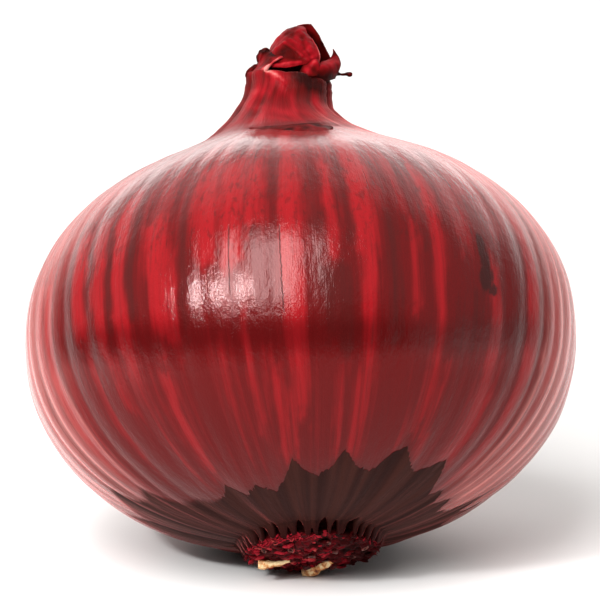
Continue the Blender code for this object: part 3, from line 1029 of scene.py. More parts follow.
# how far noise frays the masks, and what share the dents and cracks have in the relief
skinFray = {
    "ragged": 1.35,
    "soft": 0.8,
    "vein": 0.9,
    "base": 0.25,
    "roughness": 0.2,
    "crackColour": 0.8,
    "dents": 1.1,
    "cracks": -1.6,
}
# noise of the skin along its own turn and height: stretch, detail, roughness and twist
skinGrain = {
    "broad": ((26, 26, 3.5), 3, 0.6),
    "streak": ((42, 42, 4.5), 2, 0.55),
    "thread": ((200, 200, 16), 2, 0.5),
    "patchy": ((46, 46, 40), 3, 0.65, 0.6),
    "vein": ((9, 9, 7), 4, 0.55),
    "baseFold": ((15, 15, 2), 2, 0.5),
    "pebble": ((150, 150, 330), 3, 0.6),
    "dent": ((36, 36, 50), 2, 0.5),
    "crackWiggle": ((0, 0, 90), 3, 0.7),
}
# hairline splits in front: turn, top and bottom latitude, zigzag, all in degrees; half width
skinCracks = (
    (-13.9, 14.7, -2.6, 0.35, 0.0020),
    (-3.1, 13.6, -8.4, 0.75, 0.0024),
    (17.5, 33.0, 26.0, 0.30, 0.0014),
)


def crackShare(tree, flow):
    parts = addNode(tree, "ShaderNodeSeparateXYZ")
    feed(tree, parts.inputs["Vector"], flow)
    across, front, rise = parts.outputs["X"], parts.outputs["Y"], parts.outputs["Z"]
    wiggle = grain(tree, flow, *skinGrain["crackWiggle"])
    facing = stepBetween(tree, front, 0.5, 0.6)
    total = 0.0
    for turn, high, low, zigzag, width in skinCracks:
        swing = math.radians(zigzag)
        bend = maths(tree, "MULTIPLY_ADD", wiggle, 2 * swing, -math.sin(math.radians(turn)) - swing)
        off = maths(tree, "ABSOLUTE", maths(tree, "ADD", across, bend))
        line = stepBetween(tree, off, 0.3 * width, width, 1.0, 0.0)
        unit = skinWaves["rise"]
        foot = stepBetween(tree, rise, (low - 1) / unit, (low + 1) / unit)
        top = stepBetween(tree, rise, (high - 1) / unit, (high + 1) / unit, 1, 0)
        line = maths(tree, "MULTIPLY", line, foot)
        line = maths(tree, "MULTIPLY", line, top)
        total = maths(tree, "MAXIMUM", line, total)
    return maths(tree, "MULTIPLY", total, facing)


def skinFinish():
    finish, tree, shader = newFinish("striped onion skin")
    flow = placeOf(tree, "flow")
    broad = grain(tree, flow, *skinGrain["broad"])
    streak = grain(tree, flow, *skinGrain["streak"])
    thread = grain(tree, flow, *skinGrain["thread"])
    # bright stripes with ragged, streaky edges
    ragged = centred(tree, streak, skinFray["ragged"])
    soft = centred(tree, broad, skinFray["soft"])
    share = maths(tree, "ADD", maths(tree, "ADD", numberOf(tree, "red"), ragged), soft)
    red = stepBetween(tree, share, *skinSteps["red"])
    colour = blendColours(tree, red, skinLook["maroon"], skinLook["red"])
    # the whole skin is darker or paler in fine threads
    threadShade = stepBetween(tree, thread, *skinSteps["thread"])
    colour = blendColours(tree, threadShade, colour, skinLook["brown"])
    brownShare = maths(tree, "ADD", numberOf(tree, "brown"), ragged)
    brown = stepBetween(tree, brownShare, *skinSteps["brown"])
    colour = blendColours(tree, brown, colour, skinLook["brown"])
    # small brown mottles on the upper half, and paler skin along the sides, partly painted rim
    # light
    patchy = stepBetween(tree, grain(tree, flow, *skinGrain["patchy"]), *skinSteps["patchy"])
    mottle = maths(tree, "MULTIPLY", numberOf(tree, "mottle"), patchy)
    colour = blendColours(tree, mottle, colour, skinLook["brown"])
    streaky = stepBetween(tree, streak, *skinSteps["streaky"])
    pale = maths(tree, "MULTIPLY", numberOf(tree, "pale"), streaky)
    # pale stripes and painted rim light along the sides
    colour = blendColours(tree, pale, colour, skinLook["paleAndRimLitPink"])
    # painted dark reflection in a band across the front, just under the middle
    colour = blendColours(tree, numberOf(tree, "reflectionBand"), colour, skinLook["reflectionBand"])
    spots = maths(tree, "ADD", numberOf(tree, "spots"), ragged)
    spots = stepBetween(tree, spots, *skinSteps["spots"])
    colour = blendColours(tree, spots, colour, skinLook["spot"])
    crack = crackShare(tree, flow)
    cracked = maths(tree, "MULTIPLY", crack, skinFray["crackColour"])
    colour = blendColours(tree, cracked, colour, skinLook["paintedShadeAndDark"])
    # dry neck: pleats of red and dark leaf
    vein = centred(tree, grain(tree, flow, *skinGrain["vein"]), skinFray["vein"])
    neckColour = toneColour(tree, maths(tree, "ADD", numberOf(tree, "tone"), vein))
    neck = numberOf(tree, "neck")
    colour = blendColours(tree, neck, colour, neckColour)
    # painted shade inside the neck
    colour = blendColours(tree, numberOf(tree, "hollow"), colour, skinLook["hollow"])
    colour = blendColours(tree, numberOf(tree, "paleRim"), colour, skinLook["paleRim"])
    # the torn darker skin round the base
    inside = numberOf(tree, "baseSkin")
    # the red skin is darker just above the torn edge
    darkerAboveTear = stepBetween(tree, maths(tree, "ADD", inside, soft), *skinSteps["darkerAboveTear"])
    colour = blendColours(tree, darkerAboveTear, colour, skinLook["brown"])
    base = stepBetween(tree, inside, *skinSteps["base"])
    # streaks of the base skin: partly its own tone, partly painted shade in its folds
    fold = grain(tree, flow, *skinGrain["baseFold"])
    baseTone = maths(tree, "ADD", fold, maths(tree, "MULTIPLY", ragged, skinFray["base"]))
    baseTone = stepBetween(tree, baseTone, *skinSteps["baseTone"])
    baseColour = blendColours(tree, baseTone, skinLook["baseDark"], skinLook["baseLight"])
    colour = blendColours(tree, base, colour, baseColour)
    # painted shade in the crease at the neck's foot, and darker skin towards the hem
    colour = blendColours(tree, numberOf(tree, "paintedShadeAndDark"), colour, skinLook["paintedShadeAndDark"])
    feed(tree, shader.inputs["Base Color"], colour)
    dull = maths(tree, "MAXIMUM", base, neck)
    roughness = maths(tree, "MULTIPLY_ADD", dull, skinLook["dullRoughness"], skinLook["roughness"])
    added = skinLook["matteRoughness"]
    matte = maths(tree, "MULTIPLY_ADD", numberOf(tree, "gloss"), -added, added)
    roughness = maths(tree, "ADD", roughness, matte)
    roughness = maths(tree, "ADD", roughness, centred(tree, streak, skinFray["roughness"]))
    feed(tree, shader.inputs["Roughness"], roughness)
    loss = -skinLook["coatLoss"] * skinLook["coat"]
    coat = maths(tree, "MULTIPLY_ADD", dull, loss, skinLook["coat"])
    feed(tree, shader.inputs["Coat Weight"], maths(tree, "MULTIPLY", coat, numberOf(tree, "gloss")))
    shader.inputs["Coat Roughness"].default_value = skinLook["coatRoughness"]
    shader.inputs["Coat IOR"].default_value = skinLook["coatIor"]
    shader.inputs["Specular IOR Level"].default_value = skinLook["under"]
    shader.inputs["Specular Tint"].default_value = skinLook["underTint"]
    shader.inputs["Sheen Weight"].default_value = skinLook["sheen"]
    shader.inputs["Sheen Tint"].default_value = skinLook["sheenTint"]
    shader.inputs["Sheen Roughness"].default_value = skinLook["sheenRoughness"]
    # relief: threads, skin that is pebbled most in front, cracks, and the step of the torn edge
    pebble = grain(tree, flow, *skinGrain["pebble"])
    dent = grain(tree, flow, *skinGrain["dent"])
    threaded = stepBetween(tree, neck, *skinSteps["neckThreads"])
    threads = maths(tree, "MULTIPLY", thread, threaded)
    facing = addNode(tree, "ShaderNodeSeparateXYZ")
    feed(tree, facing.inputs["Vector"], flow)
    pebbled = stepBetween(tree, facing.outputs["Y"], *skinSteps["frontPebbles"])
    pebble = maths(tree, "MULTIPLY", pebble, pebbled)
    height = maths(tree, "ADD", pebble, threads)
    height = maths(tree, "MULTIPLY_ADD", dent, skinFray["dents"], height)
    height = maths(tree, "MULTIPLY_ADD", crack, skinFray["cracks"], height)
    fineNormal = bump(tree, height, skinLook["bumpDepth"])
    normal = bump(tree, base, skinLook["tornStep"], fineNormal)
    feed(tree, shader.inputs["Normal"], normal)
    feed(tree, shader.inputs["Coat Normal"], normal)
    return finish


# sheets of dry leaf: each is a grid of points (right, depth, height) in millimetres on the
# onion's own axis, with negative depth towards the front, and a tone from dark to pale; the
# tones are partly painted shade, darkest on the rows that lie under other folds
hoodSheet = (
    ((5.1, -2.6, 43.3, 0.9), (3.6, -4.0, 42.9, 0.7), (2.3, -4.6, 42.6, 0.9),
     (0.3, -4.9, 42.2, 1), (-2.0, -4.2, 42.5, 0.8), (-3.4, -0.3, 42.3, 0.4),
     (-1.2, 4.2, 41.5, 0.3), (3.4, 4.6, 41.2, 0.3), (6.9, 0.9, 42.2, 0.3)),
    ((5.3, -2.8, 44.2, 0.9), (3.9, -4.0, 43.9, 0.8), (2.4, -4.3, 43.9, 0.6),
     (0.2, -4.4, 43.6, 0.5), (-1.9, -3.2, 43.8, 0.55), (-2.9, 0.2, 44.6, 0.6),
     (-1.0, 3.6, 44.3, 0.4), (3.3, 4.1, 44.2, 0.4), (7.0, 0.7, 44.4, 0.4)),
    ((5.1, -2.9, 45.4, 1.0), (3.8, -3.7, 45.5, 0.9), (2.0, -4.0, 45.4, 0.75),
     (0.1, -3.6, 45.5, 0.6), (-1.6, -2.0, 46.0, 0.95), (-2.1, 0.3, 46.6, 0.95),
     (-0.4, 2.6, 46.6, 0.6), (3.2, 3.0, 46.4, 0.5), (6.4, 0.6, 46.1, 0.4)),
    ((4.4, -2.4, 46.9, 1.0), (3.4, -3.0, 47.0, 0.95), (1.9, -3.1, 47.1, 0.8),
     (0.4, -2.6, 47.3, 0.8), (-0.8, -1.2, 47.7, 1.05), (-1.1, 0.3, 48.2, 1.0),
     (0.6, 1.9, 48.5, 0.6), (3.4, 2.2, 48.3, 0.5), (5.8, 0.5, 47.5, 0.4)),
    ((3.6, -1.6, 48.3, 0.9), (2.8, -2.0, 48.4, 0.9), (1.7, -2.0, 48.5, 0.45),
     (0.6, -1.5, 48.6, 0.5), (-0.1, -0.6, 48.8, 0.95), (-0.2, 0.3, 49.1, 0.95),
     (1.1, 1.1, 49.5, 0.5), (3.3, 1.3, 49.5, 0.5), (5.2, 0.4, 48.8, 0.4)),
    ((3.3, -0.6, 49.4, 0.9), (2.7, -0.8, 49.5, 0.8), (1.9, -0.8, 49.6, 0.4),
     (1.0, -0.5, 49.5, 0.45), (0.5, -0.1, 49.5, 0.6), (0.5, 0.2, 49.6, 0.5),
     (1.5, 0.5, 49.9, 0.4), (3.3, 0.7, 50.2, 0.7), (4.6, 0.4, 49.9, 0.5)),
    ((3.1, 0.0, 49.9, 0.8), (2.9, 0.1, 49.9, 0.8), (2.1, 0.1, 49.9, 0.5),
     (1.3, 0.1, 49.8, 0.4), (0.9, 0.1, 49.7, 0.5), (1.0, 0.3, 49.8, 0.5),
     (2.0, 0.3, 50.0, 0.5), (3.4, 0.4, 50.4, 0.9), (4.3, 0.4, 50.4, 1)),
)
leftFlap = (
    ((-5.7, -1.5, 40.6, 0.6), (-4.6, -3.8, 40.2, 0.8), (-3.8, -4.7, 40.7, 0.8),
     (-3.3, -5.0, 41.4, 0.9)),
    ((-5.6, -1.4, 42.3, 0.3), (-4.6, -3.2, 42.2, 0.8), (-3.7, -4.3, 42.2, 0.95),
     (-3.0, -4.9, 42.2, 1.5)),
    ((-4.7, -1.2, 43.5, 0.2), (-3.9, -2.6, 43.3, 0.6), (-3.1, -3.8, 43.1, 0.65),
     (-2.4, -4.6, 42.8, 1.3)),
    ((-4.0, -1.0, 44.6, 0.15), (-3.3, -2.2, 44.4, 0.35), (-2.4, -3.4, 44.1, 0.4),
     (-1.5, -4.4, 43.5, 1.0)),
    ((-3.9, -0.9, 45.5, 0.1), (-3.1, -1.6, 45.5, 0.2), (-2.1, -2.8, 44.9, 0.25),
     (-0.8, -4.1, 44.0, 0.9)),
    ((-3.2, -0.8, 46.2, 0.1), (-2.7, -1.3, 45.9, 0.15), (-1.7, -2.4, 45.3, 0.2),
     (-0.4, -4.0, 44.2, 0.9)),
)
rightFold = (
    ((2.9, -4.4, 40.4, 0.05), (4.6, -4.2, 40.2, 0.05), (6.3, -2.9, 40.4, 0.1),
     (7.4, -0.9, 41.2, 0.1)),
    ((2.9, -4.8, 41.2, 0.2), (4.7, -4.7, 41.2, 0.3), (6.5, -3.6, 41.5, 0.5),
     (8.0, -1.3, 42.2, 0.45)),
    ((4.7, -4.2, 42.4, 0.6), (5.6, -4.0, 42.5, 0.9), (6.9, -3.2, 42.6, 0.8),
     (8.4, -1.2, 43.3, 0.5)),
    ((5.6, -2.6, 43.4, 0.5), (6.2, -2.6, 43.4, 0.8), (7.2, -2.2, 43.5, 0.85),
     (8.3, -0.9, 44.1, 0.6)),
    ((6.8, -1.2, 44.2, 0.4), (7.2, -1.3, 44.1, 0.6), (7.6, -1.2, 44.4, 0.6),
     (8.1, -0.7, 44.7, 0.5)),
    ((7.35, -0.8, 45.1, 0.3), (7.5, -0.9, 45.1, 0.35), (7.7, -0.9, 45.1, 0.35),
     (7.85, -0.7, 45.2, 0.3)),
    ((7.4, -0.7, 45.9, 0.2), (7.42, -0.72, 45.95, 0.2), (7.46, -0.72, 45.95, 0.2),
     (7.5, -0.7, 45.9, 0.2)),
)
innerLeaf = (
    ((1.9, -4.3, 41.0, 0.1), (3.1, -4.9, 40.7, 0.1), (4.2, -4.9, 40.6, 0.1),
     (5.1, -4.5, 40.9, 0.1)),
    ((2.2, -4.6, 41.7, 0.3), (3.3, -5.05, 41.6, 0.95), (4.2, -4.8, 41.6, 0.35),
     (5.0, -4.5, 41.8, 0.6)),
    ((2.8, -4.4, 42.6, 0.3), (3.5, -4.6, 42.4, 0.6), (4.3, -4.8, 42.5, 1.0),
     (5.1, -4.3, 42.7, 0.4)),
    ((3.4, -4.0, 43.3, 0.5), (3.9, -4.25, 43.3, 0.8), (4.5, -4.4, 43.4, 1.2),
     (5.0, -4.0, 43.4, 0.6)),
)
# creases pressed into the front of the hood: from, to, half width and height, in millimetres
hoodCreases = (
    ((0.1, 46.7), (2.6, 44.1), 0.20, 0.36),
    ((0.3, 46.2), (2.0, 44.5), 0.34, -0.26),
    ((0.9, 47.2), (1.8, 46.3), 0.18, 0.16),
    ((2.9, 43.9), (3.6, 43.4), 0.22, 0.16),
    ((3.0, 44.7), (3.8, 45.6), 0.24, 0.16),
    ((2.7, 47.4), (3.0, 46.0), 0.40, -0.20),
    ((-0.3, 45.2), (1.7, 43.9), 0.60, -0.20),
    ((0.7, 48.2), (1.2, 47.8), 0.45, -0.28),
    ((3.1, 45.3), (3.8, 44.3), 0.32, -0.24),
    ((-1.3, 46.0), (-1.6, 43.6), 0.22, 0.16),
    ((-1.8, 42.8), (2.3, 43.0), 0.20, 0.34),
)
# soft areas of the hood's front, partly its own tone and partly painted shade in its dents and
# below its main crease: right and height, half width and half height in millimetres, change of tone
hoodToneAndShade = (
    (-0.9, 47.1, 1.2, 1.3, 0.22),
    (0.9, 48.2, 0.8, 0.6, -0.40),
    (2.0, 47.9, 0.6, 1.0, 0.16),
    (0.9, 44.5, 1.6, 0.8, -0.42),
    (2.3, 43.8, 0.7, 0.5, -0.25),
    (3.2, 46.4, 1.0, 1.3, -0.14),
    (0.2, 42.8, 2.2, 0.40, 0.08),
    (4.1, 43.9, 0.35, 0.35, 0.35),
)
# a dark strip of torn skin standing in for the shade at the neck's foot; in millimetres: how
# far out from its middle each of its rows lies, and how far above the skin
footShadeStrip = {
    "turns": (-25, 23),
    "widths": ((-25, 0.0), (-14, 0.35), (-3, 0.50), (7, 0.95), (16, 0.95), (23, 0.0)),
    "radii": ((-25, 14.6), (-14, 16.2), (-3, 17.3), (7, 17.9), (23, 17.2)),
    "stations": 26,
    "skinLine": ((14.0, 31.1), (15.0, 30.6), (16.1, 30.0), (17.2, 29.5), (18.4, 29.0),
                 (20.7, 28.0)),
    "rows": ((2.6, -0.35), (1.5, 0.10), (0.5, 0.40), (-0.4, 0.50), (-1.2, 0.42), (-2.6, -0.30)),
    "tones": (0.50, 0.36, 0.42, 0.36, 0.34, 0.50),
    "raggedSize": 5,
    "ragged": 0.35,
}
# rolled edges: points with a radius, in millimetres
leafRolls = {
    "foldUpper": ((-0.3, -4.2, 44.1, 0.20), (-0.8, -4.6, 43.9, 0.22), (-1.7, -4.9, 43.35, 0.14),
                  (-2.3, -5.1, 42.8, 0.17), (-3.0, -5.1, 42.2, 0.32), (-3.1, -5.1, 41.8, 0.22),
                  (-2.6, -5.4, 41.5, 0.10)),
}
darkRolls = {
    "leftLow": ((-5.5, -1.6, 41.5, 0.30), (-5.8, -1.5, 42.2, 0.42), (-5.5, -1.5, 42.8, 0.52),
                (-5.0, -1.3, 43.3, 0.46), (-4.4, -1.2, 43.6, 0.50), (-3.9, -1.4, 43.8, 0.3)),
    "leftHigh": ((-3.8, -1.4, 44.0, 0.3), (-3.9, -1.1, 44.9, 0.5), (-3.8, -1.0, 45.5, 0.6),
                 (-3.3, -0.9, 46.0, 0.62), (-2.7, -0.9, 46.0, 0.55), (-2.5, -1.2, 45.6, 0.3)),
    "hook": ((6.5, -1.6, 41.7, 0.45), (7.7, -0.7, 41.95, 0.46), (8.4, -0.2, 42.0, 0.30),
             (9.0, 0.0, 42.0, 0.22), (9.45, 0.1, 42.1, 0.28), (9.75, 0.1, 41.95, 0.38),
             (9.85, 0.1, 41.6, 0.32)),
}
leafLook = {
    "thickness": 0.00022,
    # the inner side of each sheet is painted darker, as shade
    "innerShade": 0.4,
    # crumples: height and size of the soft and sharp ones and of the fine ones, and their shade
    "crumple": 0.00013,
    "crumpleSize": 0.0015,
    "softCrumples": 0.4,
    "sharpCrumples": 1.2,
    "fineCrumple": 0.00008,
    "fineSize": 0.0009,
    "shade": 0.55,
    "softShade": 0.5,
    "sharpShade": 1.1,
    "meanShade": 0.38,
    # creases: only in front of the first depth, gone at the second
    "creaseDepths": (-0.0010, 0.0002),
    "creaseHeight": 0.5,
    "creaseShade": 4600.0,
    # the hood's front: its tones are scaled and lifted; its free edge is paler between heights,
    # partly a painted highlight where the curled edge catches the light
    "hoodGrid": (110, 190),
    "hoodTone": (0.55, 0.24),
    "leastTone": 0.24,
    "frontDepths": (-0.0005, 0.0015),
    "edgeHighlight": 0.85,
    "paleWidth": 5.0,
    "highlightHeights": (0.0430, 0.0440, 0.0480, 0.0495),
    # rolled edges: how lumpy, and how their tone changes
    "rollLumps": 0.6,
    "lumpSize": 0.0011,
    "rollChange": 0.5,
    "rollChangeSize": 0.0009,
}
# noise of the dry leaf in its own coordinates: stretch, detail, roughness and twist
leafGrain = {
    "broad": ((380, 380, 260), 2, 0.5, 0.5),
    "fine": ((1400, 1400, 600), 3, 0.6),
    "broadTone": 1.0,
    "fineTone": 0.24,
    "fineRoughness": 0.2,
    "bumpDepth": 0.00010,
    "under": 0.05,
    "coatRoughness": 0.22,
}


def splineAlong(points, count):
    # a smooth curve through rows of points, as many rows as asked for
    points = np.asarray(points, float)
    n = len(points)
    at = np.linspace(0, n - 1, count)
    k = np.minimum(at.astype(int), n - 2)
    u = (at - k).reshape((-1,) + (1,) * (points.ndim - 1))
    before, after = points[np.maximum(k - 1, 0)], points[np.minimum(k + 2, n - 1)]
    a, b = points[k], points[k + 1]
    return 0.5 * (2 * a + (b - before) * u + (2 * before - 5 * a + 4 * b - after) * u ** 2
                  + (3 * a - before - 3 * b + after) * u ** 3)


def gridNormals(grid):
    across = np.gradient(grid, axis=1)
    down = np.gradient(grid, axis=0)
    normal = np.cross(across, down)
    return normal / np.maximum(np.linalg.norm(normal, axis=2, keepdims=True), 1e-9)


def crumpled(grid, seed, amount=1.0):
    flat = grid.reshape(-1, 3)
    normal = gridNormals(grid).reshape(-1, 3)
    broad = noiseAt(flat, leafLook["crumpleSize"], seed)
    sharp = 0.5 - np.abs(noiseAt(flat, leafLook["crumpleSize"] * 1.3, seed + 4.3))
    fine = noiseAt(flat, leafLook["fineSize"], seed + 8.1)
    both = leafLook["softCrumples"] * broad + leafLook["sharpCrumples"] * sharp
    out = leafLook["crumple"] * both + leafLook["fineCrumple"] * fine
    shade = leafLook["softShade"] * broad + leafLook["sharpShade"] * sharp
    shade = leafLook["shade"] * (shade - leafLook["meanShade"])
    return (flat + normal * (amount * out)[:, None]).reshape(grid.shape), shade


def creased(grid, creases):
    # pushes the front of a sheet out or in along short straight creases, and gives their painted
    # shade: lighter where pushed out, darker where pushed in
    flat = grid.reshape(-1, 3)
    normal = gridNormals(grid).reshape(-1, 3)
    front = 1 - smoothStep(*leafLook["creaseDepths"], flat[:, 1])
    spot = flat[:, [0, 2]] * 1000
    out = np.zeros(len(flat))
    for start, end, width, height in creases:
        start, end = np.array(start), np.array(end)
        along = end - start
        share = np.clip((spot - start) @ along / (along @ along), 0, 1)
        away = np.linalg.norm(spot - start - share[:, None] * along, axis=1)
        out += height / 1000 * np.exp(-(away / width) ** 2)
    out = out * front * leafLook["creaseHeight"]
    return (flat + normal * out[:, None]).reshape(grid.shape), leafLook["creaseShade"] * out


def leafSheet(control, rows, columns, seed, amount=1.0, creases=()):
    # points, faces and tones of a crumpled sheet with a real thickness
    control = np.array(control, float)
    control[..., :3] /= 1000
    grid = splineAlong(control, rows)
    grid = splineAlong(grid.transpose(1, 0, 2), columns).transpose(1, 0, 2)
    tone = grid[..., 3].ravel()
    grid, paintedCreaseShade = creased(grid[..., :3], creases)
    grid, shade = crumpled(grid, seed, amount)
    # painted shade of the creases and crumples goes into the tone
    tone = tone + paintedCreaseShade + shade
    normal = gridNormals(grid) * leafLook["thickness"] / 2
    points = np.concatenate([(grid + normal).reshape(-1, 3), (grid - normal).reshape(-1, 3)])
    size = rows * columns
    faces = gridFaces(rows, columns) + gridFaces(rows, columns, size, flip=True)
    border = [n for n in range(columns)]
    border += [k * columns + columns - 1 for k in range(1, rows)]
    border += [(rows - 1) * columns + n for n in range(columns - 2, -1, -1)]
    border += [k * columns for k in range(rows - 2, 0, -1)]
    for k, a in enumerate(border):
        b = border[(k + 1) % len(border)]
        faces.append((b, a, a + size, b + size))
    # the inner side gets a darker tone: painted shade
    return points, faces, np.concatenate([tone, tone * leafLook["innerShade"]])


def leafRoll(stations, seed, lumps, steps=26, sides=14):
    # a rolled, knobbly leaf edge along a curve
    line = splineAlong(np.array(stations, float) / 1000, steps)
    centre, radius = line[:, :3], line[:, 3].copy()
    along = np.gradient(centre, axis=0)
    along /= np.linalg.norm(along, axis=1, keepdims=True)
    side = np.cross(along, (0.0, 1.0, 0.0))
    side /= np.maximum(np.linalg.norm(side, axis=1, keepdims=True), 1e-9)
    other = np.cross(along, side)
    turn = np.linspace(0, 2 * math.pi, sides, endpoint=False)
    ends = np.sqrt(np.clip(1 - np.linspace(-1, 1, steps) ** 12, 0.02, 1))
    ring = side[:, None] * np.cos(turn)[None, :, None]
    ring = ring + other[:, None] * np.sin(turn)[None, :, None]
    points = centre[:, None] + ring * (radius * ends)[:, None, None]
    flat = points.reshape(-1, 3)
    rough = noiseAt(flat, leafLook["lumpSize"], seed, 2)
    spread = np.repeat(radius, sides) * lumps * rough
    flat = flat + ring.reshape(-1, 3) * spread[:, None]
    faces = ringFaces(steps, sides)
    faces.append(tuple(range(sides))[::-1])
    faces.append(tuple(range((steps - 1) * sides, steps * sides)))
    return flat, faces


def joined(parts):
    # several sets of points and faces as one, with the number of points of each
    points, faces, counts = [], [], []
    start = 0
    for partPoints, partFaces in parts:
        points.append(partPoints)
        faces += [tuple(i + start for i in face) for face in partFaces]
        start += len(partPoints)
        counts.append(len(partPoints))
    return np.concatenate(points), faces, counts


def footShadeSheet():
    # a low fold of dark skin at the foot of the neck, pinched at both ends, standing in for the
    # shade there
    turns = np.linspace(*footShadeStrip["turns"], footShadeStrip["stations"])
    width = np.interp(turns, *zip(*footShadeStrip["widths"]))
    along = turns / footShadeStrip["raggedSize"]
    ragged = footShadeStrip["ragged"] * noiseAt(np.stack([along, 0 * turns, 0 * turns], -1), 1.0, 1.3, 2)
    middle = np.interp(turns, *zip(*footShadeStrip["radii"]))
    rows = []
    for (out, lift), tone in zip(footShadeStrip["rows"], footShadeStrip["tones"]):
        reach = middle + out * width * (1 + ragged * (out > 0))
        height = np.interp(reach, *zip(*footShadeStrip["skinLine"])) + lift * width
        place = around(np.radians(turns), reach, height)
        rows.append(np.concatenate([place, np.full((len(turns), 1), tone)], 1))
    return np.array(rows)


def hoodWithEdge():
    # the hood's free edge in front is paler over a few columns of points, partly a painted
    # highlight
    rows, columns = leafLook["hoodGrid"]
    sheet = tuple(row[::-1] for row in hoodSheet)
    points, faces, tone = leafSheet(sheet, rows, columns, 2.0, 1.0, hoodCreases)
    fromEdge = np.tile(np.arange(columns)[::-1], 2 * rows)
    high = withinBand(points[:, 2], leafLook["highlightHeights"])
    pale = leafLook["edgeHighlight"] * np.exp(-(fromEdge / leafLook["paleWidth"]) ** 2) * high
    # the front has its own light and dark areas
    scale, lift = leafLook["hoodTone"]
    outside = 1 - smoothStep(*leafLook["frontDepths"], points[:, 1])
    outside = np.repeat([1.0, 0.0], rows * columns) * outside
    front = scale * tone + lift + areaShare(hoodToneAndShade, points[:, 0] * 1000, points[:, 2] * 1000)
    tone = tone + outside * (np.maximum(front, leafLook["leastTone"]) - tone)
    return points, faces, tone + pale


def neckHood(finish):
    # sheets of leaf, each with its rows and columns, and the seed and strength of its crumples
    sheets = (
        hoodWithEdge(),
        leafSheet(leftFlap, 60, 60, 5.0, 0.5),
        leafSheet(rightFold, 70, 50, 9.0, 0.4),
        leafSheet(innerLeaf, 50, 50, 12.0, 1.2),
        leafSheet(footShadeSheet(), 30, 160, 15.0, 0.6),
    )
    points, faces, _ = joined([(p, f) for p, f, _ in sheets])
    mesh = makeMesh("neckHood", points, faces)
    addNumbers(mesh, "tone", np.concatenate([t for _, _, t in sheets]))
    addPlaces(mesh, "own", points)
    return addPiece("neckHood", mesh, finish, "bulb")


def neckRolls(name, rolls, tone, finish):
    lumps = leafLook["rollLumps"]
    parts = [leafRoll(stations, 3.0 * k, lumps) for k, stations in enumerate(rolls.values())]
    points, faces, _ = joined(parts)
    mesh = makeMesh(name, points, faces)
    change = leafLook["rollChange"] * noiseAt(points, leafLook["rollChangeSize"], 6.6)
    addNumbers(mesh, "tone", tone + change)
    addPlaces(mesh, "own", points)
    return addPiece(name, mesh, finish, "bulb")


def leafFinish(name, roughness, coat):
    finish, tree, shader = newFinish(name)
    own = placeOf(tree, "own")
    broad = grain(tree, own, *leafGrain["broad"])
    fine = grain(tree, own, *leafGrain["fine"])
    change = centred(tree, broad, leafGrain["broadTone"])
    change = maths(tree, "ADD", change, centred(tree, fine, leafGrain["fineTone"]))
    tone = maths(tree, "ADD", numberOf(tree, "tone"), change)
    feed(tree, shader.inputs["Base Color"], toneColour(tree, tone))
    uneven = leafGrain["fineRoughness"]
    rough = maths(tree, "MULTIPLY_ADD", fine, uneven, roughness - uneven / 2)
    feed(tree, shader.inputs["Roughness"], rough)
    shader.inputs["Specular IOR Level"].default_value = leafGrain["under"]
    shader.inputs["Specular Tint"].default_value = skinLook["underTint"]
    shader.inputs["Coat Weight"].default_value = coat
    shader.inputs["Coat Roughness"].default_value = leafGrain["coatRoughness"]
    height = maths(tree, "ADD", broad, fine)
    feed(tree, shader.inputs["Normal"], bump(tree, height, leafGrain["bumpDepth"]))
    return finish


# the root plate
rootShape = {
    "radius": 0.0100,
    "top": -0.0302,
    "edge": -0.0326,
    "bottom": -0.0335,
    "slope": 0.05,
    # radius and height of its hidden upper side, and the radii of its underside
    "seat": ((0.0170, -0.0280), (0.0120, -0.0296), (0.0096, -0.0306)),
    "underside": (0.0096, 0.0088, 0.0078, 0.0068, 0.0055, 0.0),
    "rimRise": (0.0048, 0.0098),
    "riseShare": 0.8,
    "waist": (0.0094, 0.0012),
    "rings": 90,
    "columns": 260,
    "roughness": 0.0006,
    "ridgeSize": 0.0021,
    "lumpSize": 0.0015,
    "lumpShare": 0.6,
    # how far below the top its roughness sets in, and how far above the edge its light ends
    "roughFrom": (0.0008, 0.0022),
    "litBelow": (0.0002, 0.0012),
    "leastTone": 0.1,
    "grooveShade": 0.9,
    # the right side is darker
    "darkFrom": (0.0030, 0.0070),
    "darkShare": 0.7,
}
bits = {
    "seed": 21,
    "flakes": 260,
    "flakeSize": (0.0004, 0.0012),
    "flakeTones": (0.3, 0.55, 0.8, 0.95, 1.05, 1.2),
    "crumbs": 200,
    "crumbSize": (0.00016, 0.00042),
    "rimShare": 0.45,
    "rimRadii": (0.0084, 0.0099),
    "frontLength": 0.0006,
    "spread": 0.0092,
    "lumpiness": 0.7,
    # width of a flake and both other sizes of a crumb, as shares of its length
    "flakeWidths": (0.35, 0.7),
    "flakeThickness": (0.00022, 0.15),
    "crumbWidths": (0.6, 1.0),
    # how far they tilt and turn, in radians
    "tilt": 0.3,
    "twist": 0.7,
    "darkShare": 0.72,
}
fibres = {
    # lengths in millimetres; the first third stand at the front left
    "seed": 5,
    "count": 150,
    "frontTurns": (-52, 8),
    "turns": (0, 360),
    "frontTones": (0.6, 1.15),
    "tones": (0.3, 1.0),
    "radii": (0.0097, 0.0103),
    "heights": (-32.9, -32.1),
    "lengths": (0.6, 1.4),
    "out": 0.35,
    "down": 0.5,
    "lean": 0.8,
    "wander": 0.08,
    "thickness": 0.065,
    "taper": 0.03,
    "lumps": 0.3,
}
stubs = {
    "seed": 11,
    "count": 13,
    "spread": 0.0088,
    "splay": 0.35,
    "radius": (0.0004, 0.0007),
    "length": (0.0002, 0.0007),
    "lean": (-0.4, 0.4),
    "sunk": (-0.0010, -0.0005, 0.0),
}
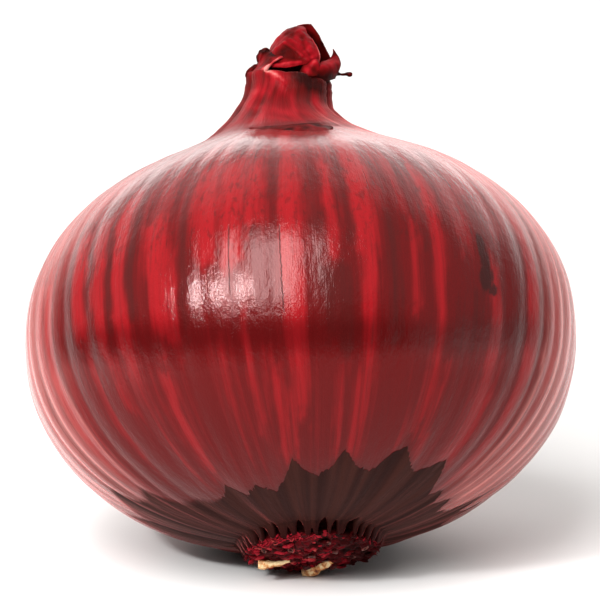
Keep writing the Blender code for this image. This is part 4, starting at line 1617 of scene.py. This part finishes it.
cutEnd = {
    # rings round a root and points on each; how wide it is at its seat and its cut
    "steps": 12,
    "sides": 18,
    "widths": (0.6, 1.15),
    "ripple": 0.10,
    "ragged": 0.3,
    "lip": 0.35,
    # rings of the cut end: share of the radius, depth, how pale the cut and how much painted shade
    # fills the hollow
    "rings": ((0.92, -0.12, 0.8, 0.0), (0.70, -0.05, 1.0, 0.0), (0.52, 0.5, 0.2, 0.8),
              (0.05, 0.8, 0.0, 1.0)),
}
longStubs = (
    # points along each root in millimetres, and its radius
    ((-3.4, 0.9, -33.7), (-4.8, 1.3, -33.9), (-6.4, 1.5, -34.1), (-8.2, 1.5, -34.0), 0.66),
    ((3.1, 3.0, -33.6), (1.8, 4.2, -34.0), (0.3, 5.8, -34.3), (-1.2, 7.4, -34.2), 0.80),
)


def plateBottom(distance):
    # the underside is flat in the middle and rounds up to the rim
    rise = smoothStep(*rootShape["rimRise"], distance) * rootShape["riseShare"]
    return rootShape["bottom"] + (rootShape["edge"] - rootShape["bottom"]) * rise


def sloped(points):
    share = smoothStep(-rootShape["top"], -rootShape["edge"], -points[:, 2])
    return points - np.stack([0 * share, 0 * share, rootShape["slope"] * share * points[:, 1]], -1)


def rootDisc(finish):
    top, edge = rootShape["top"], rootShape["edge"]
    across = np.array(rootShape["underside"])
    under = np.stack([across, plateBottom(across)], -1)
    waist, above = rootShape["waist"]
    wall = ((waist, edge + above), (rootShape["radius"], edge))
    outline = np.concatenate([rootShape["seat"], wall, under])
    length = np.concatenate([[0], np.cumsum(np.linalg.norm(np.diff(outline, axis=0), axis=1))])
    at = np.linspace(0.0, length[-1] - 0.0001, rootShape["rings"])
    turn = np.linspace(0, 2 * math.pi, rootShape["columns"], endpoint=False)
    radius = np.interp(at, length, outline[:, 0])[:, None] + 0 * turn
    height = np.interp(at, length, outline[:, 1])[:, None] + 0 * turn
    flat = around(turn[None, :] + 0 * radius, radius, height).reshape(-1, 3)
    seen = smoothStep(*rootShape["roughFrom"], top - flat[:, 2])
    ridged = 0.5 - np.abs(noiseAt(flat, rootShape["ridgeSize"], 4.1, 2))
    rough = noiseAt(flat, rootShape["lumpSize"], 9.2, 3) * rootShape["lumpShare"] + ridged
    rough = rough * rootShape["roughness"] * seen
    out = flat * np.array([0.6, 0.6, 1.0])
    out /= np.linalg.norm(out, axis=1, keepdims=True)
    flat = sloped(flat + out * rough[:, None])
    mesh = makeMesh("rootDisc", flat, ringFaces(rootShape["rings"], rootShape["columns"]))
    low, high = rootShape["litBelow"]
    lit = 1 - smoothStep(edge + low, edge + high, flat[:, 2])
    right = smoothStep(*rootShape["darkFrom"], flat[:, 0])
    # painted shade: the grooves between the ridges are darker than the ridges
    tone = rootShape["leastTone"] + rootShape["grooveShade"] * ridged
    addNumbers(mesh, "tone", lit * tone * (1 - rootShape["darkShare"] * right))
    addPlaces(mesh, "own", flat)
    return addPiece("rootDisc", mesh, finish, "root_plate")


def lump(centre, size, turned, seed, rough):
    # an irregular lump: a small ball of rings, pushed in and out
    rings, sides = 7, 9
    lift = math.pi * (np.arange(rings) + 0.5) / rings
    turn = 2 * math.pi * np.arange(sides) / sides
    ball = np.stack([np.outer(np.sin(lift), np.cos(turn)), np.outer(np.sin(lift), np.sin(turn)),
                     np.outer(np.cos(lift), np.ones(sides))], -1).reshape(-1, 3)
    push = 1 + rough * noiseAt(ball, 1.1, seed)
    points = centre + (ball * push[:, None] * size) @ np.array(turned).T
    faces = ringFaces(rings, sides)
    faces.append(tuple(range(sides))[::-1])
    faces.append(tuple(range((rings - 1) * sides, rings * sides)))
    return points, faces


def rootBits(finish):
    # flakes and crumbs that stand out all over the underside and the rim
    draw = random.Random(bits["seed"])
    parts, tones = [], []
    for k in range(bits["flakes"] + bits["crumbs"]):
        flake = k < bits["flakes"]
        onRim = draw.random() < bits["rimShare"]
        if onRim:
            distance = draw.uniform(*bits["rimRadii"])
        else:
            distance = bits["spread"] * math.sqrt(draw.random())
        turn = draw.uniform(0, 2 * math.pi)
        low, high = plateBottom(distance) - 0.0001, plateBottom(distance) + 0.0002
        if onRim:
            high = rootShape["edge"] + 0.0003
        seat = around(np.array([turn]), np.array([distance]), np.array([draw.uniform(low, high)]))
        long = draw.uniform(*bits["flakeSize" if flake else "crumbSize"])
        if onRim and math.cos(turn) > 0.5:
            long = min(long, bits["frontLength"])
        least, share = bits["flakeThickness"]
        size = np.array([long, long * draw.uniform(*bits["flakeWidths"]), least + share * long])
        if not flake:
            size[1:] = long * draw.uniform(*bits["crumbWidths"])
        rolled, tilted = draw.gauss(0, bits["tilt"]), draw.gauss(0, bits["tilt"])
        twisted = turn - math.pi / 2 + draw.gauss(0, bits["twist"])
        turned = Matrix.Rotation(twisted, 3, "Z") @ Matrix.Rotation(tilted, 3, "Y")
        turned = turned @ Matrix.Rotation(rolled, 3, "X")
        parts.append(lump(sloped(seat)[0], size, turned, k * 1.7, bits["lumpiness"]))
        tones.append(draw.choice(bits["flakeTones"]) if flake else draw.uniform(0, 1))
    points, faces, counts = joined(parts)
    mesh = makeMesh("rootBits", points, faces)
    right = smoothStep(*rootShape["darkFrom"], points[:, 0])
    addNumbers(mesh, "tone", np.repeat(tones, counts) * (1 - bits["darkShare"] * right))
    addPlaces(mesh, "own", points)
    return addPiece("rootBits", mesh, finish, "root_plate")


def rootFibres(finish):
    # fine frayed threads at the plate's rim, palest at the front left
    draw = random.Random(fibres["seed"])
    parts, tones = [], []
    for k in range(fibres["count"]):
        atFront = k < fibres["count"] // 3
        turn = math.radians(draw.uniform(*fibres["frontTurns" if atFront else "turns"]))
        radius = draw.uniform(*fibres["radii"]) * 1000
        height = draw.uniform(*fibres["heights"])
        length = draw.uniform(*fibres["lengths"])
        lean = draw.gauss(0, fibres["lean"])
        stations = []
        for step in range(4):
            share = step / 3
            angle = turn + lean * share * length / radius + draw.gauss(0, 0.02)
            out = radius + length * fibres["out"] * share + draw.gauss(0, fibres["wander"])
            drop = height - length * fibres["down"] * share + draw.gauss(0, fibres["wander"])
            thick = fibres["thickness"] - fibres["taper"] * share
            stations.append((out * math.sin(angle), -out * math.cos(angle), drop, thick))
        parts.append(leafRoll(stations, k * 2.3, fibres["lumps"], steps=8, sides=6))
        tones.append(draw.uniform(*fibres["frontTones" if atFront else "tones"]))
    points, faces, counts = joined(parts)
    mesh = makeMesh("rootFibres", points, faces)
    addNumbers(mesh, "tone", np.repeat(tones, counts))
    addPlaces(mesh, "own", points)
    return addPiece("rootFibres", mesh, finish, "root_plate")


def cutRoot(stations, radius, seed):
    # a dry root along a few points, with a ragged, hollow cut end
    steps, sides = cutEnd["steps"], cutEnd["sides"]
    line = splineAlong(np.array(stations, float), steps)
    along = np.gradient(line, axis=0)
    along /= np.linalg.norm(along, axis=1, keepdims=True)
    side = np.cross(along, (0.0, 1.0, 0.13))
    side /= np.linalg.norm(side, axis=1, keepdims=True)
    other = np.cross(along, side)
    turn = np.linspace(0, 2 * math.pi, sides, endpoint=False)
    ring = side[:, None] * np.cos(turn)[:, None] + other[:, None] * np.sin(turn)[:, None]
    ripple = cutEnd["ripple"] * np.sin(np.arange(steps) * 1.3 + seed)
    widths = np.linspace(*cutEnd["widths"], steps) + ripple
    points = line[:, None] + ring * (radius * widths)[:, None, None]
    tip, lastRing = line[-1], ring[-1]
    shares, depths, cuts, holeShades = zip(*cutEnd["rings"])
    inner = [tip + lastRing * radius * share - along[-1] * radius * deep
             for share, deep in zip(shares, depths)]
    flat = np.concatenate([points.reshape(-1, 3), np.concatenate(inner)])
    outward = np.concatenate([ring.reshape(-1, 3), np.tile(lastRing, (len(inner), 1))])
    ragged = noiseAt(flat, radius * 1.1, seed, 2) * radius * cutEnd["ragged"]
    flat = flat + outward * ragged[:, None]
    cut = np.concatenate([np.zeros(steps * sides), np.repeat(cuts, sides)])
    cut[(steps - 2) * sides:steps * sides] = cutEnd["lip"]
    holeShade = np.concatenate([np.zeros(steps * sides), np.repeat(holeShades, sides)])
    return flat, ringFaces(steps + len(inner), sides), cut, holeShade


def rootStubs(finish):
    draw = random.Random(stubs["seed"])
    golden = math.pi * (3 - math.sqrt(5))
    parts, cuts, holeShades, pales = [], [], [], []

    def addRoot(stations, radius, seed, pale):
        flat, faces, cut, holeShade = cutRoot(stations, radius, seed)
        parts.append((flat, faces))
        cuts.append(cut)
        holeShades.append(holeShade)
        pales.append(np.full(len(flat), pale))

    for k in range(stubs["count"]):
        distance = stubs["spread"] * math.sqrt((k + 0.5) / stubs["count"])
        turn = k * golden
        splay = around(np.array(turn), np.array(stubs["splay"] * distance / stubs["spread"]), 0.0)
        along = np.array([draw.uniform(*stubs["lean"]), draw.uniform(*stubs["lean"]), -1.0])
        along = along + splay
        along /= np.linalg.norm(along)
        seat = sloped(around(np.array([turn]), np.array([distance]),
                             np.array([plateBottom(distance)])))[0]
        length = draw.uniform(*stubs["length"])
        stations = [seat + along * step for step in stubs["sunk"] + (length,)]
        addRoot(stations, draw.uniform(*stubs["radius"]), k, 0.0)
    for k, root in enumerate(longStubs):
        addRoot(np.array(root[:4]) / 1000, root[4] / 1000, 40 + k, 1.0)
    points, faces, _ = joined(parts)
    mesh = makeMesh("rootStubs", points, faces)
    addNumbers(mesh, "cut", np.concatenate(cuts))
    addNumbers(mesh, "holeShade", np.concatenate(holeShades))
    addNumbers(mesh, "pale", np.concatenate(pales))
    addPlaces(mesh, "own", points)
    return addPiece("rootStubs", mesh, finish, "root_plate")


rootTones = (
    # half the tone, which runs from 0 to 2, and its colour: brown black, dark red, two
    # crimsons and two pale pinks
    (0.0, (0.006, 0.0008, 0.0006, 1)),
    (0.2, (0.040, 0.0022, 0.0030, 1)),
    (0.4, (0.17, 0.0055, 0.0105, 1)),
    (0.55, (0.34, 0.0120, 0.0240, 1)),
    (0.7, (0.52, 0.11, 0.085, 1)),
    (0.85, (0.70, 0.36, 0.27, 1)),
)
rootLook = {
    "dark": (0.010, 0.0018, 0.0012, 1),
    "bark": (0.13, 0.008, 0.008, 1),
    "tan": (0.60, 0.22, 0.055, 1),
    "cream": (0.88, 0.66, 0.36, 1),
    "crumbRoughness": 0.6,
    "crumbShine": 0.04,
    "crumbRelief": 0.00016,
    "stubRoughness": 0.45,
    "stubShine": 0.25,
    "stubRelief": 0.00018,
    # between which limits of the noise each colour sets in
    "barkFrom": (0.35, 0.65),
    "tanFrom": (0.28, 0.5),
    "creamFrom": (0.44, 0.6),
    "cutFrom": (0.25, 0.5),
    "darkCuts": (0.0, 0.8, 0.03, 1.0),
}
# noise of the crumbs and the roots: stretch, detail and roughness
rootGrain = {
    "broadCrumb": ((560, 560, 560), 3, 0.6),
    "fineCrumb": ((2400, 2400, 2400), 3, 0.6),
    "broadTone": 0.8,
    "fineTone": 0.3,
    "broadStub": ((900, 900, 900), 3, 0.6),
    "fineStub": ((2600, 2600, 2600), 3, 0.6),
}


def crumbFinish():
    # corky bits: tone runs from brown black to crimson and pale pink
    finish, tree, shader = newFinish("corky root crumbs")
    own = placeOf(tree, "own")
    broad = grain(tree, own, *rootGrain["broadCrumb"])
    fine = grain(tree, own, *rootGrain["fineCrumb"])
    change = centred(tree, broad, rootGrain["broadTone"])
    change = maths(tree, "ADD", change, centred(tree, fine, rootGrain["fineTone"]))
    tone = maths(tree, "ADD", numberOf(tree, "tone"), change)
    feed(tree, shader.inputs["Base Color"], toneColour(tree, tone, rootTones))
    shader.inputs["Roughness"].default_value = rootLook["crumbRoughness"]
    shader.inputs["Specular IOR Level"].default_value = rootLook["crumbShine"]
    shader.inputs["Specular Tint"].default_value = skinLook["underTint"]
    height = maths(tree, "ADD", broad, fine)
    feed(tree, shader.inputs["Normal"], bump(tree, height, rootLook["crumbRelief"]))
    return finish


def stubFinish():
    # dry roots: bark, tan sides and a creamy cut with painted shade in its hollow
    finish, tree, shader = newFinish("dry cut roots")
    own = placeOf(tree, "own")
    broad = grain(tree, own, *rootGrain["broadStub"])
    fine = grain(tree, own, *rootGrain["fineStub"])
    bark = stepBetween(tree, fine, *rootLook["barkFrom"])
    colour = blendColours(tree, bark, rootLook["dark"], rootLook["bark"])
    pale = numberOf(tree, "pale")
    tan = maths(tree, "MULTIPLY", pale, stepBetween(tree, broad, *rootLook["tanFrom"]))
    colour = blendColours(tree, tan, colour, rootLook["tan"])
    worn = maths(tree, "MULTIPLY", pale, stepBetween(tree, broad, *rootLook["creamFrom"]))
    colour = blendColours(tree, worn, colour, rootLook["cream"])
    cut = stepBetween(tree, fine, *rootLook["cutFrom"])
    cut = maths(tree, "MULTIPLY", numberOf(tree, "cut"), cut)
    cut = maths(tree, "MULTIPLY", cut, stepBetween(tree, pale, *rootLook["darkCuts"]))
    colour = blendColours(tree, cut, colour, rootLook["cream"])
    # painted shade in the hollow of the cut end
    colour = blendColours(tree, numberOf(tree, "holeShade"), colour, rootLook["dark"])
    feed(tree, shader.inputs["Base Color"], colour)
    shader.inputs["Roughness"].default_value = rootLook["stubRoughness"]
    shader.inputs["Specular IOR Level"].default_value = rootLook["stubShine"]
    height = maths(tree, "ADD", broad, fine)
    feed(tree, shader.inputs["Normal"], bump(tree, height, rootLook["stubRelief"]))
    return finish


# floor, light and camera
studio = {
    "floorRadius": 12.0,
    "floorColour": (0.82, 0.81, 0.80, 1),
    "cameraDistance": 2.0,
    "cameraAngle": math.radians(14.4),
    "pixel": 0.0001529,
    "middlePixel": (300.5, 342.6),
    "imageSize": 600,
}
# soft lamps: name, turn and height in degrees as seen from the onion, distance, size and power
lamps = (
    ("window", -20, 46, 0.8, (0.42, 0.58), 10.2),
    ("sunPatch", -38, 31, 0.8, (0.13, 0.06), 4.2),
)
roomLight = {
    "level": 0.5,
    "colour": (1.0, 0.985, 0.97, 1),
    # turns and heights in degrees from the front, softness of each edge, brightness added
    "patches": (
        ((-230, -128), (-15, 21), (18, 6), 1.9),
        ((128, 230), (-15, 21), (18, 6), 1.9),
        ((-165, -112), (21, 70), (12, 8), 0.6),
        ((112, 172), (21, 62), (12, 8), 1.2),
        ((-230, -150), (21, 80), (16, 8), 0.2),
        ((160, 230), (21, 80), (16, 8), 0.2),
    ),
}
darkCard = {
    # a low dark screen in front that the gloss mirrors: turn and top edge, in degrees
    "distance": 0.30,
    "turns": (-104, -90, -66, -40, -10, 8, 14, 26, 39),
    "tops": (-1.0, 4.0, 13.0, 16.0, 18.5, 19.0, 24.0, 25.0, 23.0),
    "colour": (0.03, 0.012, 0.012, 1),
    "speckColour": (0.02, 0.008, 0.008, 1),
}


def floor():
    count = 96
    turn = np.linspace(0, 2 * math.pi, count, endpoint=False)
    points = around(turn, studio["floorRadius"], 0 * turn - 0.00002)
    mesh = makeMesh("floor", points, [tuple(range(count))], lean=False)
    finish, tree, shader = newFinish("pale floor")
    place = addNode(tree, "ShaderNodeTexCoord").outputs["Object"]
    speck = grain(tree, place, (60, 60, 60), 3)
    paler = tuple(0.97 * c for c in studio["floorColour"][:3]) + (1,)
    colour = blendColours(tree, speck, paler, studio["floorColour"])
    feed(tree, shader.inputs["Base Color"], colour)
    shader.inputs["Roughness"].default_value = 0.8
    shader.inputs["Specular IOR Level"].default_value = 0.2
    mesh.materials.append(finish)
    piece = bpy.data.objects.new("floor", mesh)
    bpy.context.scene.collection.objects.link(piece)


def room():
    # a pale room, brightest at the back and sides, with a dim stretch low down in front
    world = bpy.data.worlds.new("pale room")
    world.use_nodes = True
    tree = world.node_tree
    background = tree.nodes["Background"]
    direction = addNode(tree, "ShaderNodeTexCoord").outputs["Generated"]
    split = addNode(tree, "ShaderNodeSeparateXYZ")
    feed(tree, split.inputs[0], direction)
    toFront = maths(tree, "MULTIPLY", split.outputs["Y"], -1.0)
    turn = maths(tree, "DEGREES", maths(tree, "ARCTAN2", split.outputs["X"], toFront))
    height = maths(tree, "DEGREES", maths(tree, "ARCSINE", split.outputs["Z"]))
    total = None
    for turns, heights, softness, level in roomLight["patches"]:
        share = level
        edges = ((turn, turns, softness[0]), (height, heights, softness[1]))
        for value, (low, high), soft in edges:
            rise = stepBetween(tree, value, low - soft, low + soft)
            fall = stepBetween(tree, value, high - soft, high + soft, 1.0, 0.0)
            share = maths(tree, "MULTIPLY", share, maths(tree, "MULTIPLY", rise, fall))
        total = share if total is None else maths(tree, "ADD", total, share)
    strength = maths(tree, "MAXIMUM", maths(tree, "ADD", total, roomLight["level"]), 0.0)
    background.inputs["Color"].default_value = roomLight["colour"]
    feed(tree, background.inputs["Strength"], strength)
    bpy.context.scene.world = world


def cardScreen():
    turns = np.radians(np.linspace(darkCard["turns"][0], darkCard["turns"][-1], 80))
    tops = np.interp(np.degrees(turns), darkCard["turns"], darkCard["tops"])
    far = darkCard["distance"]
    low = around(turns, far, 0 * turns)
    high = around(turns, far, rest["middle"][2] + far * np.tan(np.radians(tops)))
    mesh = makeMesh("darkCard", np.concatenate([low, high]), gridFaces(2, len(turns)), lean=False)
    finish, tree, shader = newFinish("dull dark card")
    place = addNode(tree, "ShaderNodeTexCoord").outputs["Object"]
    speck = grain(tree, place, (40, 40, 40), 2)
    colour = blendColours(tree, speck, darkCard["colour"], darkCard["speckColour"])
    feed(tree, shader.inputs["Base Color"], colour)
    shader.inputs["Roughness"].default_value = 0.9
    shader.inputs["Specular IOR Level"].default_value = 0.0
    mesh.materials.append(finish)
    piece = bpy.data.objects.new("darkCard", mesh)
    piece.visible_camera = False
    bpy.context.scene.collection.objects.link(piece)


def softLight(name, turn, height, distance, size, power):
    # an area lamp that looks at the onion
    lamp = bpy.data.lights.new(name, "AREA")
    lamp.shape = "RECTANGLE"
    lamp.size, lamp.size_y = size
    lamp.energy = power
    item = bpy.data.objects.new(name, lamp)
    turn, height = math.radians(turn), math.radians(height)
    away = Vector((math.sin(turn) * math.cos(height), -math.cos(turn) * math.cos(height),
                   math.sin(height)))
    item.location = Vector(rest["middle"]) + away * distance
    item.rotation_mode = "QUATERNION"
    item.rotation_quaternion = away.to_track_quat("Z", "Y")
    bpy.context.scene.collection.objects.link(item)


def camera():
    lens = bpy.data.cameras.new("camera")
    lens.sensor_width = 36
    wide = studio["pixel"] * studio["imageSize"]
    lens.lens = lens.sensor_width * studio["cameraDistance"] / wide
    lens.clip_end = 50
    item = bpy.data.objects.new("camera", lens)
    angle = studio["cameraAngle"]
    back = Vector((0, -math.cos(angle), math.sin(angle)))
    up = Vector((0, math.sin(angle), math.cos(angle)))
    half = studio["imageSize"] / 2
    right = (half - studio["middlePixel"][0]) * studio["pixel"]
    rise = (studio["middlePixel"][1] - half) * studio["pixel"]
    target = Vector(rest["middle"]) + Vector((right, 0, 0)) + up * rise
    item.location = target + back * studio["cameraDistance"]
    item.rotation_mode = "QUATERNION"
    item.rotation_quaternion = back.to_track_quat("Z", "Y")
    bpy.context.scene.collection.objects.link(item)
    bpy.context.scene.camera = item


camera()
floor()
room()
cardScreen()
for lamp in lamps:
    softLight(*lamp)
print("studio ready")

bulbSkin(skinFinish())
dryLeaf = leafFinish("crumpled dry leaf", 0.55, 0.02)
neckHood(dryLeaf)
neckRolls("leafFolds", leafRolls, 1.4, leafFinish("pale leaf edge", 0.42, 0.2))
neckRolls("leafCurls", darkRolls, 0.12, leafFinish("dark dry curl", 0.58, 0.04))
crumbs = crumbFinish()
rootDisc(crumbs)
rootBits(crumbs)
rootFibres(crumbs)
rootStubs(stubFinish())

bpy.context.scene.view_settings.view_transform = "Standard"
bpy.context.view_layer.update()
